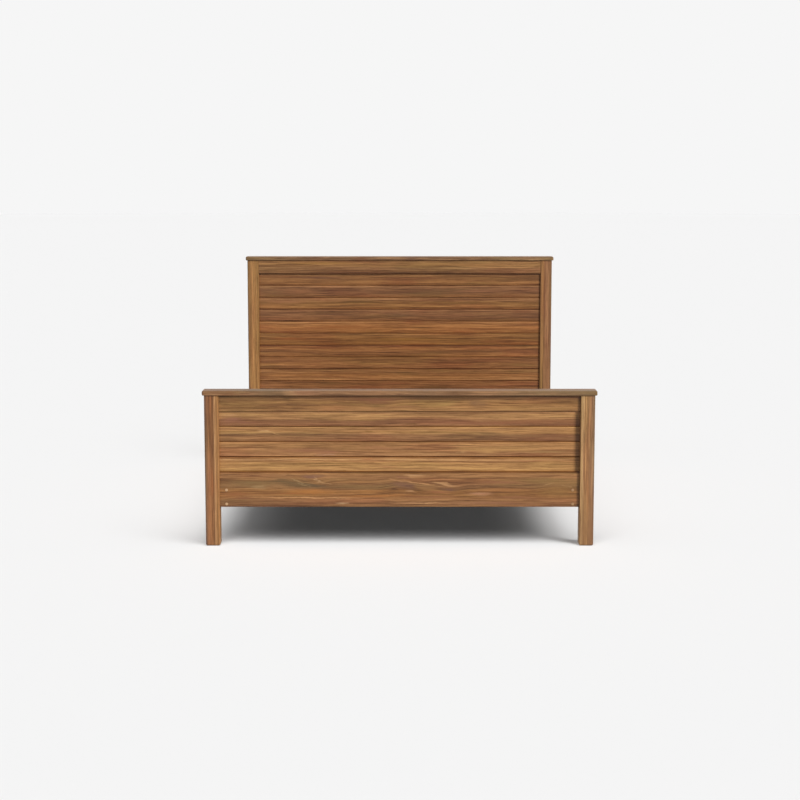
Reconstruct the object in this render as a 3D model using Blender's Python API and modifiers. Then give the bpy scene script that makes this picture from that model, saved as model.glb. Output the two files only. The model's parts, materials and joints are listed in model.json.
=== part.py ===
"""Queen-size timber bed frame: boarded head and foot ends, knock-down side rails, slats on a centre beam with
adjustable centre legs.

Metres, +Z up. X runs across the bed, Y along it: the foot end is at -Y, the head end at +Y. The origin is on the
floor, in the middle of the frame.
"""

import math

import bmesh
import bpy
from mathutils import Matrix, Vector

# ---------------------------------------------------------------- driving dimensions
INNER_WIDTH = 1.540  # clear width between the side rails, for a 1.524 m mattress
INNER_LENGTH = 2.045  # clear length between head and foot posts, for a 2.032 m mattress
GAP = 0.0003  # working clearance between neighbouring pieces

POST = 0.060  # square section of all four posts
POST_OUT = 0.815  # outer side face of the posts, from the centre line
POST_IN = POST_OUT - POST
ARRIS = 0.003  # eased long edges of the posts
FOOT_CHAMFER = 0.005  # chamfer round the bottom of each post

CAP_THICK = 0.020
CAP_SIDE = 0.008  # overhang of a cap past the posts' side faces
CAP_FRONT = 0.010  # and past their front and back faces
CAP_CORNER = 0.008  # plan radius of a cap's corners
CAP_ROUND = 0.006  # rounding of its upper edge

RAIL_LOW = 0.164  # underside of every bottom rail and side rail
RAIL_HEIGHT = 0.149
FOOT_CAP_LOW = 0.638
FOOT_TOP_RAIL = 0.069  # height of the board under the foot cap
HEAD_CAP_LOW = 1.092
HEAD_TOP_RAIL = 0.070
FOOT_PLANKS = 4
HEAD_PLANKS = 11

PLANK_THICK = 0.018
RAIL_THICK = 0.030
HEAD_TOP_THICK = 0.045
FOOT_PLANK_SET = 0.020  # how far the boards' faces lie behind the posts' front faces
HEAD_PLANK_SET = 0.018
FOOT_RAIL_SET = 0.012
HEAD_RAIL_SET = 0.012
HEAD_TOP_SET = 0.0005
V_CHAMFER = 0.0022  # chamfers that make the V groove between two boards
BACK_CHAMFER = 0.0010
TONGUE = 0.006
TONGUE_LONG = 0.007
HOUSING = 0.012  # depth of the groove in the posts that takes the boards' ends
EDGE_HOUSING = 0.008  # depth of the grooves in the rails that take the first and last board
TENON = 0.030
TENON_THICK = 0.014

SIDE_RAIL_THICK = 0.025
SIDE_RAIL_HEIGHT = 0.150
BLOCK = 0.055  # corner block, measured across from the side rail
BLOCK_TOP = 0.256
BLOCK_END = 0.975  # where the blocks stop and the ledgers start, from the middle of the bed

SLATS = 12
SLAT_WIDE = 0.100
SLAT_THICK = 0.020
SLAT_LONG = 1.536
SLAT_END = 0.922  # centre of the first and last slat, from the middle of the bed
SEAT = 0.236  # height of the ledgers and the beam, which carry the slats
LEDGER = 0.030

BEAM_WIDE = 0.040
BEAM_LOW = 0.170
HANGER_STEEL = 0.0025
HANGER_REACH = 0.040
HANGER_WIDE = 0.090

LEG = 0.045
LEG_Y = 0.200  # the two centre legs, each side of mid-length
LEG_BORE_R = 0.0063
LEG_LOW = 0.028
PLUG_X = 0.727
PLUG_Z = (0.1765, 0.2360)
PLUG_R = 0.006
PLUG_PROUD = 0.0008

HEAD_Y = INNER_LENGTH / 2  # front face of the head posts
FOOT_Y = -INNER_LENGTH / 2 - POST  # front face of the foot posts
HEAD_TOP_LOW = HEAD_CAP_LOW - HEAD_TOP_RAIL + 0.0002
FOOT_TOP_LOW = FOOT_CAP_LOW - FOOT_TOP_RAIL
BOTTOM_RAIL_TOP = RAIL_LOW + RAIL_HEIGHT

# ---------------------------------------------------------------- scene
for old in list(bpy.data.objects):
    bpy.data.objects.remove(old, do_unlink=True)

bed = bpy.data.collections.new("bed_frame")
bpy.context.scene.collection.children.link(bed)
tools = bpy.data.collections.new("cutters")
bpy.context.scene.collection.children.link(tools)


def material(name, colour, roughness, metallic=0.0):
    made = bpy.data.materials.new(name)
    made.use_nodes = True
    shader = made.node_tree.nodes["Principled BSDF"]
    shader.inputs["Base Color"].default_value = (*colour, 1.0)
    shader.inputs["Roughness"].default_value = roughness
    shader.inputs["Metallic"].default_value = metallic
    made.diffuse_color = (*colour, 1.0)
    return made


GOLDEN = (0.352, 0.180, 0.078)
TAWNY = (0.300, 0.148, 0.068)
UMBER = (0.238, 0.117, 0.056)
REDDISH = (0.245, 0.112, 0.050)
PINE = (0.560, 0.400, 0.240)
PLUG_WOOD = (0.560, 0.350, 0.190)
ZINC = (0.62, 0.62, 0.60)
BRASS = (0.60, 0.47, 0.24)
BLACK = (0.030, 0.030, 0.032)


# ---------------------------------------------------------------- modelling helpers
def place(name, mesh, group=bed):
    made = bpy.data.objects.new(name, mesh)
    group.objects.link(made)
    return made


def box_mesh(name, low, high):
    """An axis-aligned box between two corners."""
    low, high = Vector(low), Vector(high)
    mesh = bpy.data.meshes.new(name)
    build = bmesh.new()
    bmesh.ops.create_cube(
        build,
        size=1.0,
        matrix=Matrix.Translation((low + high) / 2) @ Matrix.Diagonal((*(high - low), 1.0)),
    )
    build.to_mesh(mesh)
    build.free()
    return mesh


def box(name, low, high, finish, ease=0.0):
    """A piece of sawn timber with eased edges."""
    made = place(name, box_mesh(name, low, high))
    made.data.materials.append(finish)
    if ease:
        bevel = made.modifiers.new("eased_edges", "BEVEL")
        bevel.width = ease
        bevel.segments = 1
        bevel.limit_method = "ANGLE"
    return made


def cut(piece, boxes, label):
    """Takes axis-aligned boxes, which don't overlap each other, out of a piece."""
    mesh = bpy.data.meshes.new(f"{piece.name}_{label}")
    build = bmesh.new()
    for low, high in boxes:
        low, high = Vector(low), Vector(high)
        bmesh.ops.create_cube(
            build,
            size=1.0,
            matrix=Matrix.Translation((low + high) / 2) @ Matrix.Diagonal((*(high - low), 1.0)),
        )
    build.to_mesh(mesh)
    build.free()
    apply_cutter(piece, place(f"{piece.name}_{label}", mesh, tools), label)


def bore(piece, centre, radius, length, axis, label, sides=20):
    """Drills a round hole whose middle is at centre."""
    mesh = bpy.data.meshes.new(f"{piece.name}_{label}")
    build = bmesh.new()
    turn = {"X": Matrix.Rotation(math.pi / 2, 4, "Y"), "Y": Matrix.Rotation(math.pi / 2, 4, "X"), "Z": Matrix()}
    bmesh.ops.create_cone(
        build,
        cap_ends=True,
        segments=sides,
        radius1=radius,
        radius2=radius,
        depth=length,
        matrix=Matrix.Translation(centre) @ turn[axis],
    )
    build.to_mesh(mesh)
    build.free()
    apply_cutter(piece, place(f"{piece.name}_{label}", mesh, tools), label)


def apply_cutter(piece, cutter, label, operation="DIFFERENCE"):
    cutter.hide_render = True
    cutter.display_type = "WIRE"
    boolean = piece.modifiers.new(label, "BOOLEAN")
    boolean.operation = operation
    boolean.solver = "EXACT"
    boolean.object = cutter


def join_box(piece, low, high, label):
    """Welds a plate onto a piece."""
    cutter = place(f"{piece.name}_{label}", box_mesh(f"{piece.name}_{label}", low, high), tools)
    apply_cutter(piece, cutter, label, "UNION")


def extruded(name, outline, start, end, axis, finish):
    """A flat outline extruded along an axis. The outline is (y, z) points for axis X and (x, y) points for axis Z."""
    curve = bpy.data.curves.new(name, "CURVE")
    curve.dimensions = "2D"
    curve.fill_mode = "BOTH"
    curve.extrude = (end - start) / 2
    line = curve.splines.new("POLY")
    line.points.add(len(outline) - 1)
    for point, (u, v) in zip(line.points, outline):
        point.co = (u, v, 0.0, 1.0)
    line.use_cyclic_u = True
    curve.materials.append(finish)
    made = place(name, curve)
    if axis == "X":
        made.rotation_euler = (math.pi / 2, 0.0, math.pi / 2)
        made.location = ((start + end) / 2, 0.0, 0.0)
    else:
        made.location = (0.0, 0.0, (start + end) / 2)
    return made


def turned(name, profile, finish, centre, steps=24, closed=False):
    """A turned piece: (radius, height) points from top to bottom down its outer side, screwed round the Z axis."""
    mesh = bpy.data.meshes.new(name)
    build = bmesh.new()
    points = [build.verts.new((r, 0.0, z)) for r, z in profile]
    for a, b in zip(points, points[1:]):
        build.edges.new((a, b))
    if closed:
        build.edges.new((points[-1], points[0]))
    build.to_mesh(mesh)
    build.free()
    made = place(name, mesh)
    made.data.materials.append(finish)
    made.location = centre
    screw = made.modifiers.new("turn", "SCREW")
    screw.axis = "Z"
    screw.angle = 2 * math.pi
    screw.steps = screw.render_steps = steps
    screw.use_merge_vertices = True
    screw.merge_threshold = 0.00005
    screw.use_smooth_shade = True
    return made


# ---------------------------------------------------------------- posts
def post(name, side, front, height, top_rail, finish):
    """One post. side is -1 left or +1 right, front is its front face's Y, top_rail is (low edge, setback, thickness)."""
    inner, outer = side * POST_IN, side * POST_OUT
    low = (min(inner, outer), front, 0.0)
    high = (max(inner, outer), front + POST, height)
    mesh = box_mesh(name, low, high)
    build = bmesh.new()
    build.from_mesh(mesh)
    base = [e for e in build.edges if all(v.co.z < 1e-6 for v in e.verts)]
    bmesh.ops.bevel(build, geom=base, offset=FOOT_CHAMFER, segments=1, affect="EDGES")
    upright = [
        e
        for e in build.edges
        if abs(e.verts[0].co.z - e.verts[1].co.z) > 0.1
    ]
    bmesh.ops.bevel(build, geom=upright, offset=ARRIS, segments=2, profile=0.5, affect="EDGES")
    build.to_mesh(mesh)
    build.free()
    made = place(name, mesh)
    made.data.materials.append(finish)

    plank_set = FOOT_PLANK_SET if front < 0 else HEAD_PLANK_SET
    rail_set = FOOT_RAIL_SET if front < 0 else HEAD_RAIL_SET

    def slot(depth, y0, thick, z0, z1):
        edge = side * (POST_IN + depth)
        mouth = side * (POST_IN - 0.01)
        return ((min(edge, mouth), y0 - GAP, z0), (max(edge, mouth), y0 + thick + GAP, z1))

    tenon_y = front + rail_set + (RAIL_THICK - TENON_THICK) / 2
    top_low, top_set, top_thick = top_rail
    top_y = front + top_set + (top_thick - TENON_THICK) / 2
    cut(
        made,
        [slot(HOUSING, front + plank_set, PLANK_THICK, BOTTOM_RAIL_TOP - EDGE_HOUSING, top_low + EDGE_HOUSING)],
        "board_groove",
    )
    cut(
        made,
        [
            slot(TENON + GAP, tenon_y, TENON_THICK, RAIL_LOW - GAP, BOTTOM_RAIL_TOP + GAP),
            slot(TENON + GAP, top_y, TENON_THICK, top_low - GAP, height + 0.01),
        ],
        "mortises",
    )
    return made


# ---------------------------------------------------------------- framing rails
def framing_rail(name, front, setback, thick, z0, z1, groove_up, plank_front, finish):
    """A rail tenoned into both posts, with a groove along one edge for the nearest board."""
    reach = POST_IN + TENON
    y0, y1 = front + setback, front + setback + thick
    made = box(name, (-reach, y0, z0), (reach, y1, z1), finish, ease=0.0015)
    cheek0 = y0 + (thick - TENON_THICK) / 2
    cheek1 = cheek0 + TENON_THICK
    shoulders = []
    for side in (-1, 1):
        a, b = side * (POST_IN - GAP), side * (reach + 0.01)
        for c, d in ((y0 - 0.01, cheek0), (cheek1, y1 + 0.01)):
            shoulders.append(((min(a, b), c, z0 - 0.01), (max(a, b), d, z1 + 0.01)))
    cut(made, shoulders, "shoulders")
    edge = (z1 - EDGE_HOUSING, z1 + 0.01) if groove_up else (z0 - 0.01, z0 + EDGE_HOUSING)
    cut(
        made,
        [((-reach - 0.01, plank_front - GAP, edge[0]), (reach + 0.01, plank_front + PLANK_THICK + GAP, edge[1]))],
        "board_groove",
    )
    return made


def plank(name, front, low, high, first, last, finish):
    """A horizontal board: tongue up, groove down, V-chamfered. The first and last ones sit in the rails' grooves."""
    half = POST_IN + HOUSING - 0.002
    t = PLANK_THICK
    y0, y1 = front, front + t
    mid = front + t / 2
    z0, z1 = low + GAP / 2, high - GAP / 2
    v, b = V_CHAMFER, BACK_CHAMFER
    outline = []
    if first:
        seat = low - EDGE_HOUSING + GAP
        outline += [(y0, seat), (y1, seat)]
    else:
        w = TONGUE / 2 + GAP
        d = TONGUE_LONG + 2 * GAP
        outline += [
            (y0, z0 + v),
            (y0 + v, z0),
            (mid - w, z0),
            (mid - w, z0 + d),
            (mid + w, z0 + d),
            (mid + w, z0),
            (y1 - b, z0),
            (y1, z0 + b),
        ]
    if last:
        seat = high + EDGE_HOUSING - GAP
        outline += [(y1, seat), (y0, seat)]
    else:
        w = TONGUE / 2
        outline += [
            (y1, z1 - b),
            (y1 - b, z1),
            (mid + w, z1),
            (mid + w, z1 + TONGUE_LONG),
            (mid - w, z1 + TONGUE_LONG),
            (mid - w, z1),
            (y0 + v, z1),
            (y0, z1 - v),
        ]
    return extruded(name, outline, -half, half, "X", finish)


# ---------------------------------------------------------------- caps
def cap(name, front, low, finish):
    """The overhanging board on top of an end frame, with rounded corners and a rounded upper edge."""
    x = POST_OUT + CAP_SIDE
    mesh = box_mesh(
        name,
        (-x, front - CAP_FRONT, low + GAP),
        (x, front + POST + CAP_FRONT, low + CAP_THICK),
    )
    build = bmesh.new()
    build.from_mesh(mesh)
    corners = [e for e in build.edges if abs(e.verts[0].co.z - e.verts[1].co.z) > 0.01]
    bmesh.ops.bevel(build, geom=corners, offset=CAP_CORNER, segments=4, profile=0.5, affect="EDGES")
    rim = [e for e in build.edges if all(v.co.z > low + CAP_THICK - 1e-5 for v in e.verts)]
    bmesh.ops.bevel(build, geom=rim, offset=CAP_ROUND, segments=3, profile=0.5, affect="EDGES")
    under = [e for e in build.edges if all(v.co.z < low + GAP + 1e-5 for v in e.verts)]
    bmesh.ops.bevel(build, geom=under, offset=0.002, segments=1, affect="EDGES")
    build.to_mesh(mesh)
    build.free()
    made = place(name, mesh)
    made.data.materials.append(finish)
    return made


# ---------------------------------------------------------------- the two ends
for side, word in ((-1, "left"), (1, "right")):
    post(
        f"foot_post_{word}",
        side,
        FOOT_Y,
        FOOT_CAP_LOW,
        (FOOT_TOP_LOW, FOOT_RAIL_SET, RAIL_THICK),
        material(f"timber_foot_post_{word}", TAWNY if side < 0 else GOLDEN, 0.45),
    )
    post(
        f"head_post_{word}",
        side,
        HEAD_Y,
        HEAD_CAP_LOW,
        (HEAD_TOP_LOW, HEAD_TOP_SET, HEAD_TOP_THICK),
        material(f"timber_head_post_{word}", GOLDEN if side < 0 else TAWNY, 0.45),
    )

cap("foot_cap", FOOT_Y, FOOT_CAP_LOW, material("timber_foot_cap", UMBER, 0.42))
cap("head_cap", HEAD_Y, HEAD_CAP_LOW, material("timber_head_cap", UMBER, 0.42))

foot_board = FOOT_Y + FOOT_PLANK_SET
head_board = HEAD_Y + HEAD_PLANK_SET
framing_rail(
    "foot_bottom_rail", FOOT_Y, FOOT_RAIL_SET, RAIL_THICK, RAIL_LOW, BOTTOM_RAIL_TOP, True, foot_board,
    material("timber_foot_bottom_rail", TAWNY, 0.45),
)
framing_rail(
    "foot_top_rail", FOOT_Y, FOOT_RAIL_SET, RAIL_THICK, FOOT_TOP_LOW, FOOT_CAP_LOW, False, foot_board,
    material("timber_foot_top_rail", TAWNY, 0.45),
)
framing_rail(
    "head_bottom_rail", HEAD_Y, HEAD_RAIL_SET, RAIL_THICK, RAIL_LOW, BOTTOM_RAIL_TOP, True, head_board,
    material("timber_head_bottom_rail", UMBER, 0.45),
)
framing_rail(
    "head_top_rail", HEAD_Y, HEAD_TOP_SET, HEAD_TOP_THICK, HEAD_TOP_LOW, HEAD_CAP_LOW, False, head_board,
    material("timber_head_top_rail", UMBER, 0.45),
)

pitch = (FOOT_TOP_LOW - BOTTOM_RAIL_TOP) / FOOT_PLANKS
for n in range(FOOT_PLANKS):
    low = BOTTOM_RAIL_TOP + n * pitch
    plank(
        f"foot_plank_{n + 1}", foot_board, low, low + pitch, n == 0, n == FOOT_PLANKS - 1,
        material(f"timber_foot_plank_{n + 1}", (GOLDEN, TAWNY)[n % 2], 0.45),
    )
pitch = (HEAD_TOP_LOW - BOTTOM_RAIL_TOP) / HEAD_PLANKS
for n in range(HEAD_PLANKS):
    low = BOTTOM_RAIL_TOP + n * pitch
    plank(
        f"head_plank_{n + 1:02d}", head_board, low, low + pitch, n == 0, n == HEAD_PLANKS - 1,
        material(f"timber_head_plank_{n + 1:02d}", (UMBER, REDDISH, TAWNY)[n % 3], 0.45),
    )

# Wood plugs over the screws that run through the foot bottom rail into the corner blocks.
foot_rail_front = FOOT_Y + FOOT_RAIL_SET
rail = bed.objects["foot_bottom_rail"]
for side, word in ((-1, "left"), (1, "right")):
    for z, place_word in zip(PLUG_Z, ("lower", "upper")):
        centre = (side * PLUG_X, foot_rail_front, z)
        bore(rail, centre, PLUG_R + GAP, 0.016, "Y", f"counterbore_{word}_{place_word}")
        mesh = bpy.data.meshes.new(f"rail_plug_{word}_{place_word}")
        build = bmesh.new()
        bmesh.ops.create_cone(
            build,
            cap_ends=True,
            segments=20,
            radius1=PLUG_R - GAP / 2,
            radius2=PLUG_R - GAP / 2,
            depth=0.0075 + PLUG_PROUD,
            matrix=Matrix.Rotation(math.pi / 2, 4, "X"),
        )
        front_rim = [e for e in build.edges if all(v.co.y < -0.003 for v in e.verts)]
        bmesh.ops.bevel(build, geom=front_rim, offset=0.0006, segments=1, affect="EDGES")
        build.to_mesh(mesh)
        build.free()
        mesh.shade_smooth()
        mesh.set_sharp_from_angle(angle=math.radians(40))
        plug = place(f"rail_plug_{word}_{place_word}", mesh)
        plug.data.materials.append(material(f"plug_{word}_{place_word}", PLUG_WOOD, 0.5))
        plug.location = (side * PLUG_X, foot_rail_front + (0.0075 - PLUG_PROUD) / 2, z)

# ---------------------------------------------------------------- side rails, ledgers and corner blocks
inner = INNER_WIDTH / 2
for side, word in ((-1, "left"), (1, "right")):
    a, b = side * inner, side * (inner + SIDE_RAIL_THICK)
    box(
        f"side_rail_{word}",
        (min(a, b), -HEAD_Y + GAP, RAIL_LOW),
        (max(a, b), HEAD_Y - GAP, RAIL_LOW + SIDE_RAIL_HEIGHT),
        material(f"timber_side_rail_{word}", TAWNY, 0.45),
        ease=0.002,
    )
    a, b = side * (inner - GAP), side * (inner - GAP - LEDGER)
    box(
        f"slat_ledger_{word}",
        (min(a, b), -BLOCK_END + GAP, SEAT - LEDGER),
        (max(a, b), BLOCK_END - GAP, SEAT),
        material(f"softwood_ledger_{word}", PINE, 0.6),
        ease=0.0015,
    )
    for end, end_word, rail_face in (
        (-1, "foot", FOOT_Y + FOOT_RAIL_SET + RAIL_THICK),
        (1, "head", HEAD_Y + HEAD_RAIL_SET),
    ):
        against = rail_face - end * GAP
        post_face = end * (HEAD_Y - GAP)
        outline = [
            (side * (inner - BLOCK), against),
            (side * (POST_IN - GAP), against),
            (side * (POST_IN - GAP), post_face),
            (side * (inner - GAP), post_face),
            (side * (inner - GAP), end * BLOCK_END),
            (side * (inner - BLOCK), end * BLOCK_END),
        ]
        extruded(
            f"corner_block_{end_word}_{word}", outline, RAIL_LOW + 0.001, BLOCK_TOP, "Z",
            material(f"timber_corner_block_{end_word}_{word}", UMBER, 0.55),
        )

# ---------------------------------------------------------------- slats
for n in range(SLATS):
    y = -SLAT_END + n * 2 * SLAT_END / (SLATS - 1)
    box(
        f"slat_{n + 1:02d}",
        (-SLAT_LONG / 2, y - SLAT_WIDE / 2, SEAT + GAP),
        (SLAT_LONG / 2, y + SLAT_WIDE / 2, SEAT + GAP + SLAT_THICK),
        material(f"softwood_slat_{n + 1:02d}", PINE, 0.6),
        ease=0.003,
    )

# ---------------------------------------------------------------- centre beam and its hangers
beam_foot = FOOT_Y + FOOT_RAIL_SET + RAIL_THICK + GAP
beam_head = HEAD_Y + HEAD_RAIL_SET - GAP
box(
    "centre_beam",
    (-BEAM_WIDE / 2, beam_foot + HANGER_STEEL + GAP, BEAM_LOW),
    (BEAM_WIDE / 2, beam_head - HANGER_STEEL - GAP, SEAT),
    material("softwood_beam", PINE, 0.6),
    ease=0.002,
)
for word, face, way in (("foot", beam_foot, 1), ("head", beam_head, -1)):
    steel = material(f"zinc_hanger_{word}", ZINC, 0.35, 1.0)
    low_z = BEAM_LOW - GAP - HANGER_STEEL
    cheek = BEAM_WIDE / 2 + GAP

    def between(x0, x1, y0, y1, z0, z1):
        ya, yb = face + way * y0, face + way * y1
        return (x0, min(ya, yb), z0), (x1, max(ya, yb), z1)

    hanger = box(f"beam_hanger_{word}", *between(-HANGER_WIDE / 2, HANGER_WIDE / 2, 0, HANGER_STEEL, low_z, SEAT - 0.004), steel)
    inside = HANGER_STEEL / 2
    join_box(hanger, *between(-cheek - HANGER_STEEL, cheek + HANGER_STEEL, inside, HANGER_REACH, low_z, low_z + HANGER_STEEL), "shelf")
    for side, which in ((-1, "left_cheek"), (1, "right_cheek")):
        xa, xb = side * cheek, side * (cheek + HANGER_STEEL)
        join_box(hanger, *between(min(xa, xb), max(xa, xb), inside, HANGER_REACH - 0.001, low_z + HANGER_STEEL / 2, SEAT - 0.006), which)
    for side, which in ((-1, "left"), (1, "right")):
        for n, z in enumerate((low_z + 0.016, SEAT - 0.018)):
            bore(
                hanger,
                (side * 0.0345, face + way * HANGER_STEEL / 2, z),
                0.0024, 0.02, "Y", f"screw_hole_{which}_{n}", sides=12,
            )

# ---------------------------------------------------------------- centre legs with adjustable glides
for word, y in (("front", -LEG_Y), ("rear", LEG_Y)):
    leg = box(
        f"centre_leg_{word}",
        (-LEG / 2, y - LEG / 2, LEG_LOW),
        (LEG / 2, y + LEG / 2, BEAM_LOW - GAP),
        material(f"timber_centre_leg_{word}", UMBER, 0.5),
        ease=0.002,
    )
    bore(leg, (0.0, y, LEG_LOW + 0.027), LEG_BORE_R, 0.056, "Z", "insert_bore", sides=24)

    # Threaded sleeve: a flange under the leg and a tube up the bore.
    turned(
        f"leg_insert_{word}",
        [(0.0060, 0.0460), (0.0060, 0.0277), (0.0110, 0.0277), (0.0110, 0.0265), (0.0044, 0.0265), (0.0044, 0.0460)],
        material(f"brass_insert_{word}", BRASS, 0.35, 1.0),
        (0.0, y, 0.0),
        closed=True,
    )

    # Stem: a threaded rod with a hexagon for a spanner and a button foot held in the pad.
    stem = turned(
        f"glide_stem_{word}",
        [
            (0.0, 0.0600),
            (0.0030, 0.0600),
            (0.0040, 0.0590),
            (0.0040, 0.0082),
            (0.0050, 0.0078),
            (0.0050, 0.0050),
            (0.0040, 0.0044),
            (0.0, 0.0044),
        ],
        material(f"zinc_stem_{word}", ZINC, 0.3, 1.0),
        (0.0, y, 0.0),
    )
    mesh = bpy.data.meshes.new(f"glide_stem_{word}_hexagon")
    build = bmesh.new()
    bmesh.ops.create_cone(
        build, cap_ends=True, segments=6, radius1=0.0075, radius2=0.0075, depth=0.005,
        matrix=Matrix.Translation((0.0, 0.0, 0.0150)),
    )
    build.to_mesh(mesh)
    build.free()
    hexagon = place(f"glide_stem_{word}_hexagon", mesh, tools)
    hexagon.location = (0.0, y, 0.0)
    apply_cutter(stem, hexagon, "hexagon", "UNION")

    # Pad: a moulded foot with a lipped socket round the button.
    turned(
        f"glide_pad_{word}",
        [
            (0.0046, 0.0105),
            (0.0095, 0.0105),
            (0.0105, 0.0098),
            (0.0150, 0.0055),
            (0.0160, 0.0042),
            (0.0160, 0.0008),
            (0.0152, 0.0000),
            (0.0, 0.0000),
        ]
        + [(0.0, 0.0040), (0.0054, 0.0040), (0.0054, 0.0085), (0.0046, 0.0090)],
        material(f"plastic_pad_{word}", BLACK, 0.5),
        (0.0, y, 0.0),
        closed=True,
    )
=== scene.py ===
import json
import math

import bmesh
import bpy
from mathutils import Matrix, Vector

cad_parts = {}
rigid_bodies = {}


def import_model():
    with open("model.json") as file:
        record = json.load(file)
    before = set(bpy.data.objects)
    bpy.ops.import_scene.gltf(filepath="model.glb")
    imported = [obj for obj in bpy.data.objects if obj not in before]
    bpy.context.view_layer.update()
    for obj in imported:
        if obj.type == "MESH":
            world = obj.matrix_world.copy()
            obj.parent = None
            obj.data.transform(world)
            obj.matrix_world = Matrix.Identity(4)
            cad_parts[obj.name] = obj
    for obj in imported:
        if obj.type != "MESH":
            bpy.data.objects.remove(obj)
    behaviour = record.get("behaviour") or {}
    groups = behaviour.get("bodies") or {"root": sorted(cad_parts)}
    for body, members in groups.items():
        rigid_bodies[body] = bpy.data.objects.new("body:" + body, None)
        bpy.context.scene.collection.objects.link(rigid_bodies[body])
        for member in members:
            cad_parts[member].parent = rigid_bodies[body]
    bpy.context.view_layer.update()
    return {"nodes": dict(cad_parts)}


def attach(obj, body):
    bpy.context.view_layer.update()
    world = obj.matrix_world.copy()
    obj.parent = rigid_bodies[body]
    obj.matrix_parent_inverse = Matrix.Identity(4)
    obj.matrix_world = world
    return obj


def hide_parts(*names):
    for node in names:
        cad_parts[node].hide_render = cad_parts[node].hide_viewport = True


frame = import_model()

STATIC = "bed_frame"

# ================================================================ dimensions, in metres, the same as the CAD's
GAP = 0.0003
POST, POST_IN, POST_OUT = 0.060, 0.755, 0.815
FOOT_Y, HEAD_Y = -1.0825, 1.0225
FOOT_BOARD, HEAD_BOARD = FOOT_Y + 0.020, HEAD_Y + 0.018
RAIL_LOW, RAIL_TOP = 0.164, 0.313
FOOT_TOP_LOW, FOOT_CAP_LOW = 0.569, 0.638
HEAD_TOP_LOW, HEAD_CAP_LOW = 1.0222, 1.092
PLANK_THICK = 0.018
TENON, TENON_THICK = 0.030, 0.014
EDGE_HOUSING, HOUSING = 0.008, 0.012
SEAT = 0.236


# ================================================================ mesh building
def rounded_rect(u0, v0, u1, v1, r, seg=4):
    """A rectangle with rounded corners, anticlockwise, always the same number of points."""
    points = []
    for cu, cv, start in ((u1 - r, v1 - r, 0), (u0 + r, v1 - r, 90), (u0 + r, v0 + r, 180), (u1 - r, v0 + r, 270)):
        for k in range(seg + 1):
            a = math.radians(start + 90.0 * k / seg)
            points.append((cu + r * math.cos(a), cv + r * math.sin(a)))
    return points


def fillet(points, radii, seg=3):
    """Rounds each corner of a closed outline by its own radius."""
    out = []
    n = len(points)
    for i, (p, r) in enumerate(zip(points, radii)):
        if r <= 0:
            out.append(p)
            continue
        a, b, c = Vector(points[i - 1]), Vector(p), Vector(points[(i + 1) % n])
        d1, d2 = (a - b), (c - b)
        l1, l2 = d1.length, d2.length
        d1.normalize()
        d2.normalize()
        angle = d1.angle(d2)
        if angle > math.radians(179):
            out.append(p)
            continue
        reach = min(r / math.tan(angle / 2), 0.48 * l1, 0.48 * l2)
        r = reach * math.tan(angle / 2)
        centre = b + (d1 + d2).normalized() * (r / math.sin(angle / 2))
        start, end = b + d1 * reach - centre, b + d2 * reach - centre
        sweep = start.angle_signed(end)
        for k in range(seg + 1):
            t = -sweep * k / seg
            x = start.x * math.cos(t) - start.y * math.sin(t)
            y = start.x * math.sin(t) + start.y * math.cos(t)
            out.append((centre.x + x, centre.y + y))
    return out


def stack(name, axis, levels):
    """Rings of points joined into one closed solid. levels is a list of (place along the axis, outline)."""
    build = bmesh.new()
    rings = []
    for place, outline in levels:
        ring = []
        for u, v in outline:
            co = {"X": (place, u, v), "Y": (u, place, v), "Z": (u, v, place)}[axis]
            ring.append(build.verts.new(co))
        rings.append(ring)
    n = len(rings[0])
    for a, b in zip(rings, rings[1:]):
        for i in range(n):
            j = (i + 1) % n
            build.faces.new((a[i], a[j], b[j], b[i]))
    build.faces.new(rings[0])
    build.faces.new(rings[-1])
    bmesh.ops.recalc_face_normals(build, faces=build.faces)
    mesh = bpy.data.meshes.new(name)
    build.to_mesh(mesh)
    build.free()
    made = bpy.data.objects.new(name, mesh)
    bpy.context.scene.collection.objects.link(made)
    return made


def bar(name, axis, low, high, r, end_r=None, seg=4):
    """A bar of timber with rounded long edges and eased ends."""
    low, high = Vector(low), Vector(high)
    i, (j, k) = {"X": (0, (1, 2)), "Y": (1, (0, 2)), "Z": (2, (0, 1))}[axis]
    end_r = r if end_r is None else end_r

    def outline(d):
        return rounded_rect(low[j] + d, low[k] + d, high[j] - d, high[k] - d, max(r - d, 0.0004), seg)

    levels = []
    steps = 3
    for s in range(steps, -1, -1):
        a = math.pi / 2 * s / steps
        levels.append((low[i] + end_r * (1 - math.sin(a)), outline(end_r * (1 - math.cos(a)))))
    for s in range(steps + 1):
        a = math.pi / 2 * s / steps
        levels.append((high[i] - end_r * (1 - math.sin(a)), outline(end_r * (1 - math.cos(a)))))
    # levels run from the low end to the high end
    return stack(name, axis, levels)


def carve(piece, boxes=(), bores=()):
    """Takes boxes and round holes out of a piece."""
    for n, (low, high) in enumerate(boxes):
        low, high = Vector(low), Vector(high)
        build = bmesh.new()
        bmesh.ops.create_cube(build, size=1.0, matrix=Matrix.Translation((low + high) / 2) @ Matrix.Diagonal((*(high - low), 1.0)))
        subtract(piece, build)
    for centre, radius, length, axis in bores:
        build = bmesh.new()
        turn = {"X": Matrix.Rotation(math.pi / 2, 4, "Y"), "Y": Matrix.Rotation(math.pi / 2, 4, "X"), "Z": Matrix()}[axis]
        bmesh.ops.create_cone(build, cap_ends=True, segments=28, radius1=radius, radius2=radius, depth=length, matrix=Matrix.Translation(centre) @ turn)
        subtract(piece, build)


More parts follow.
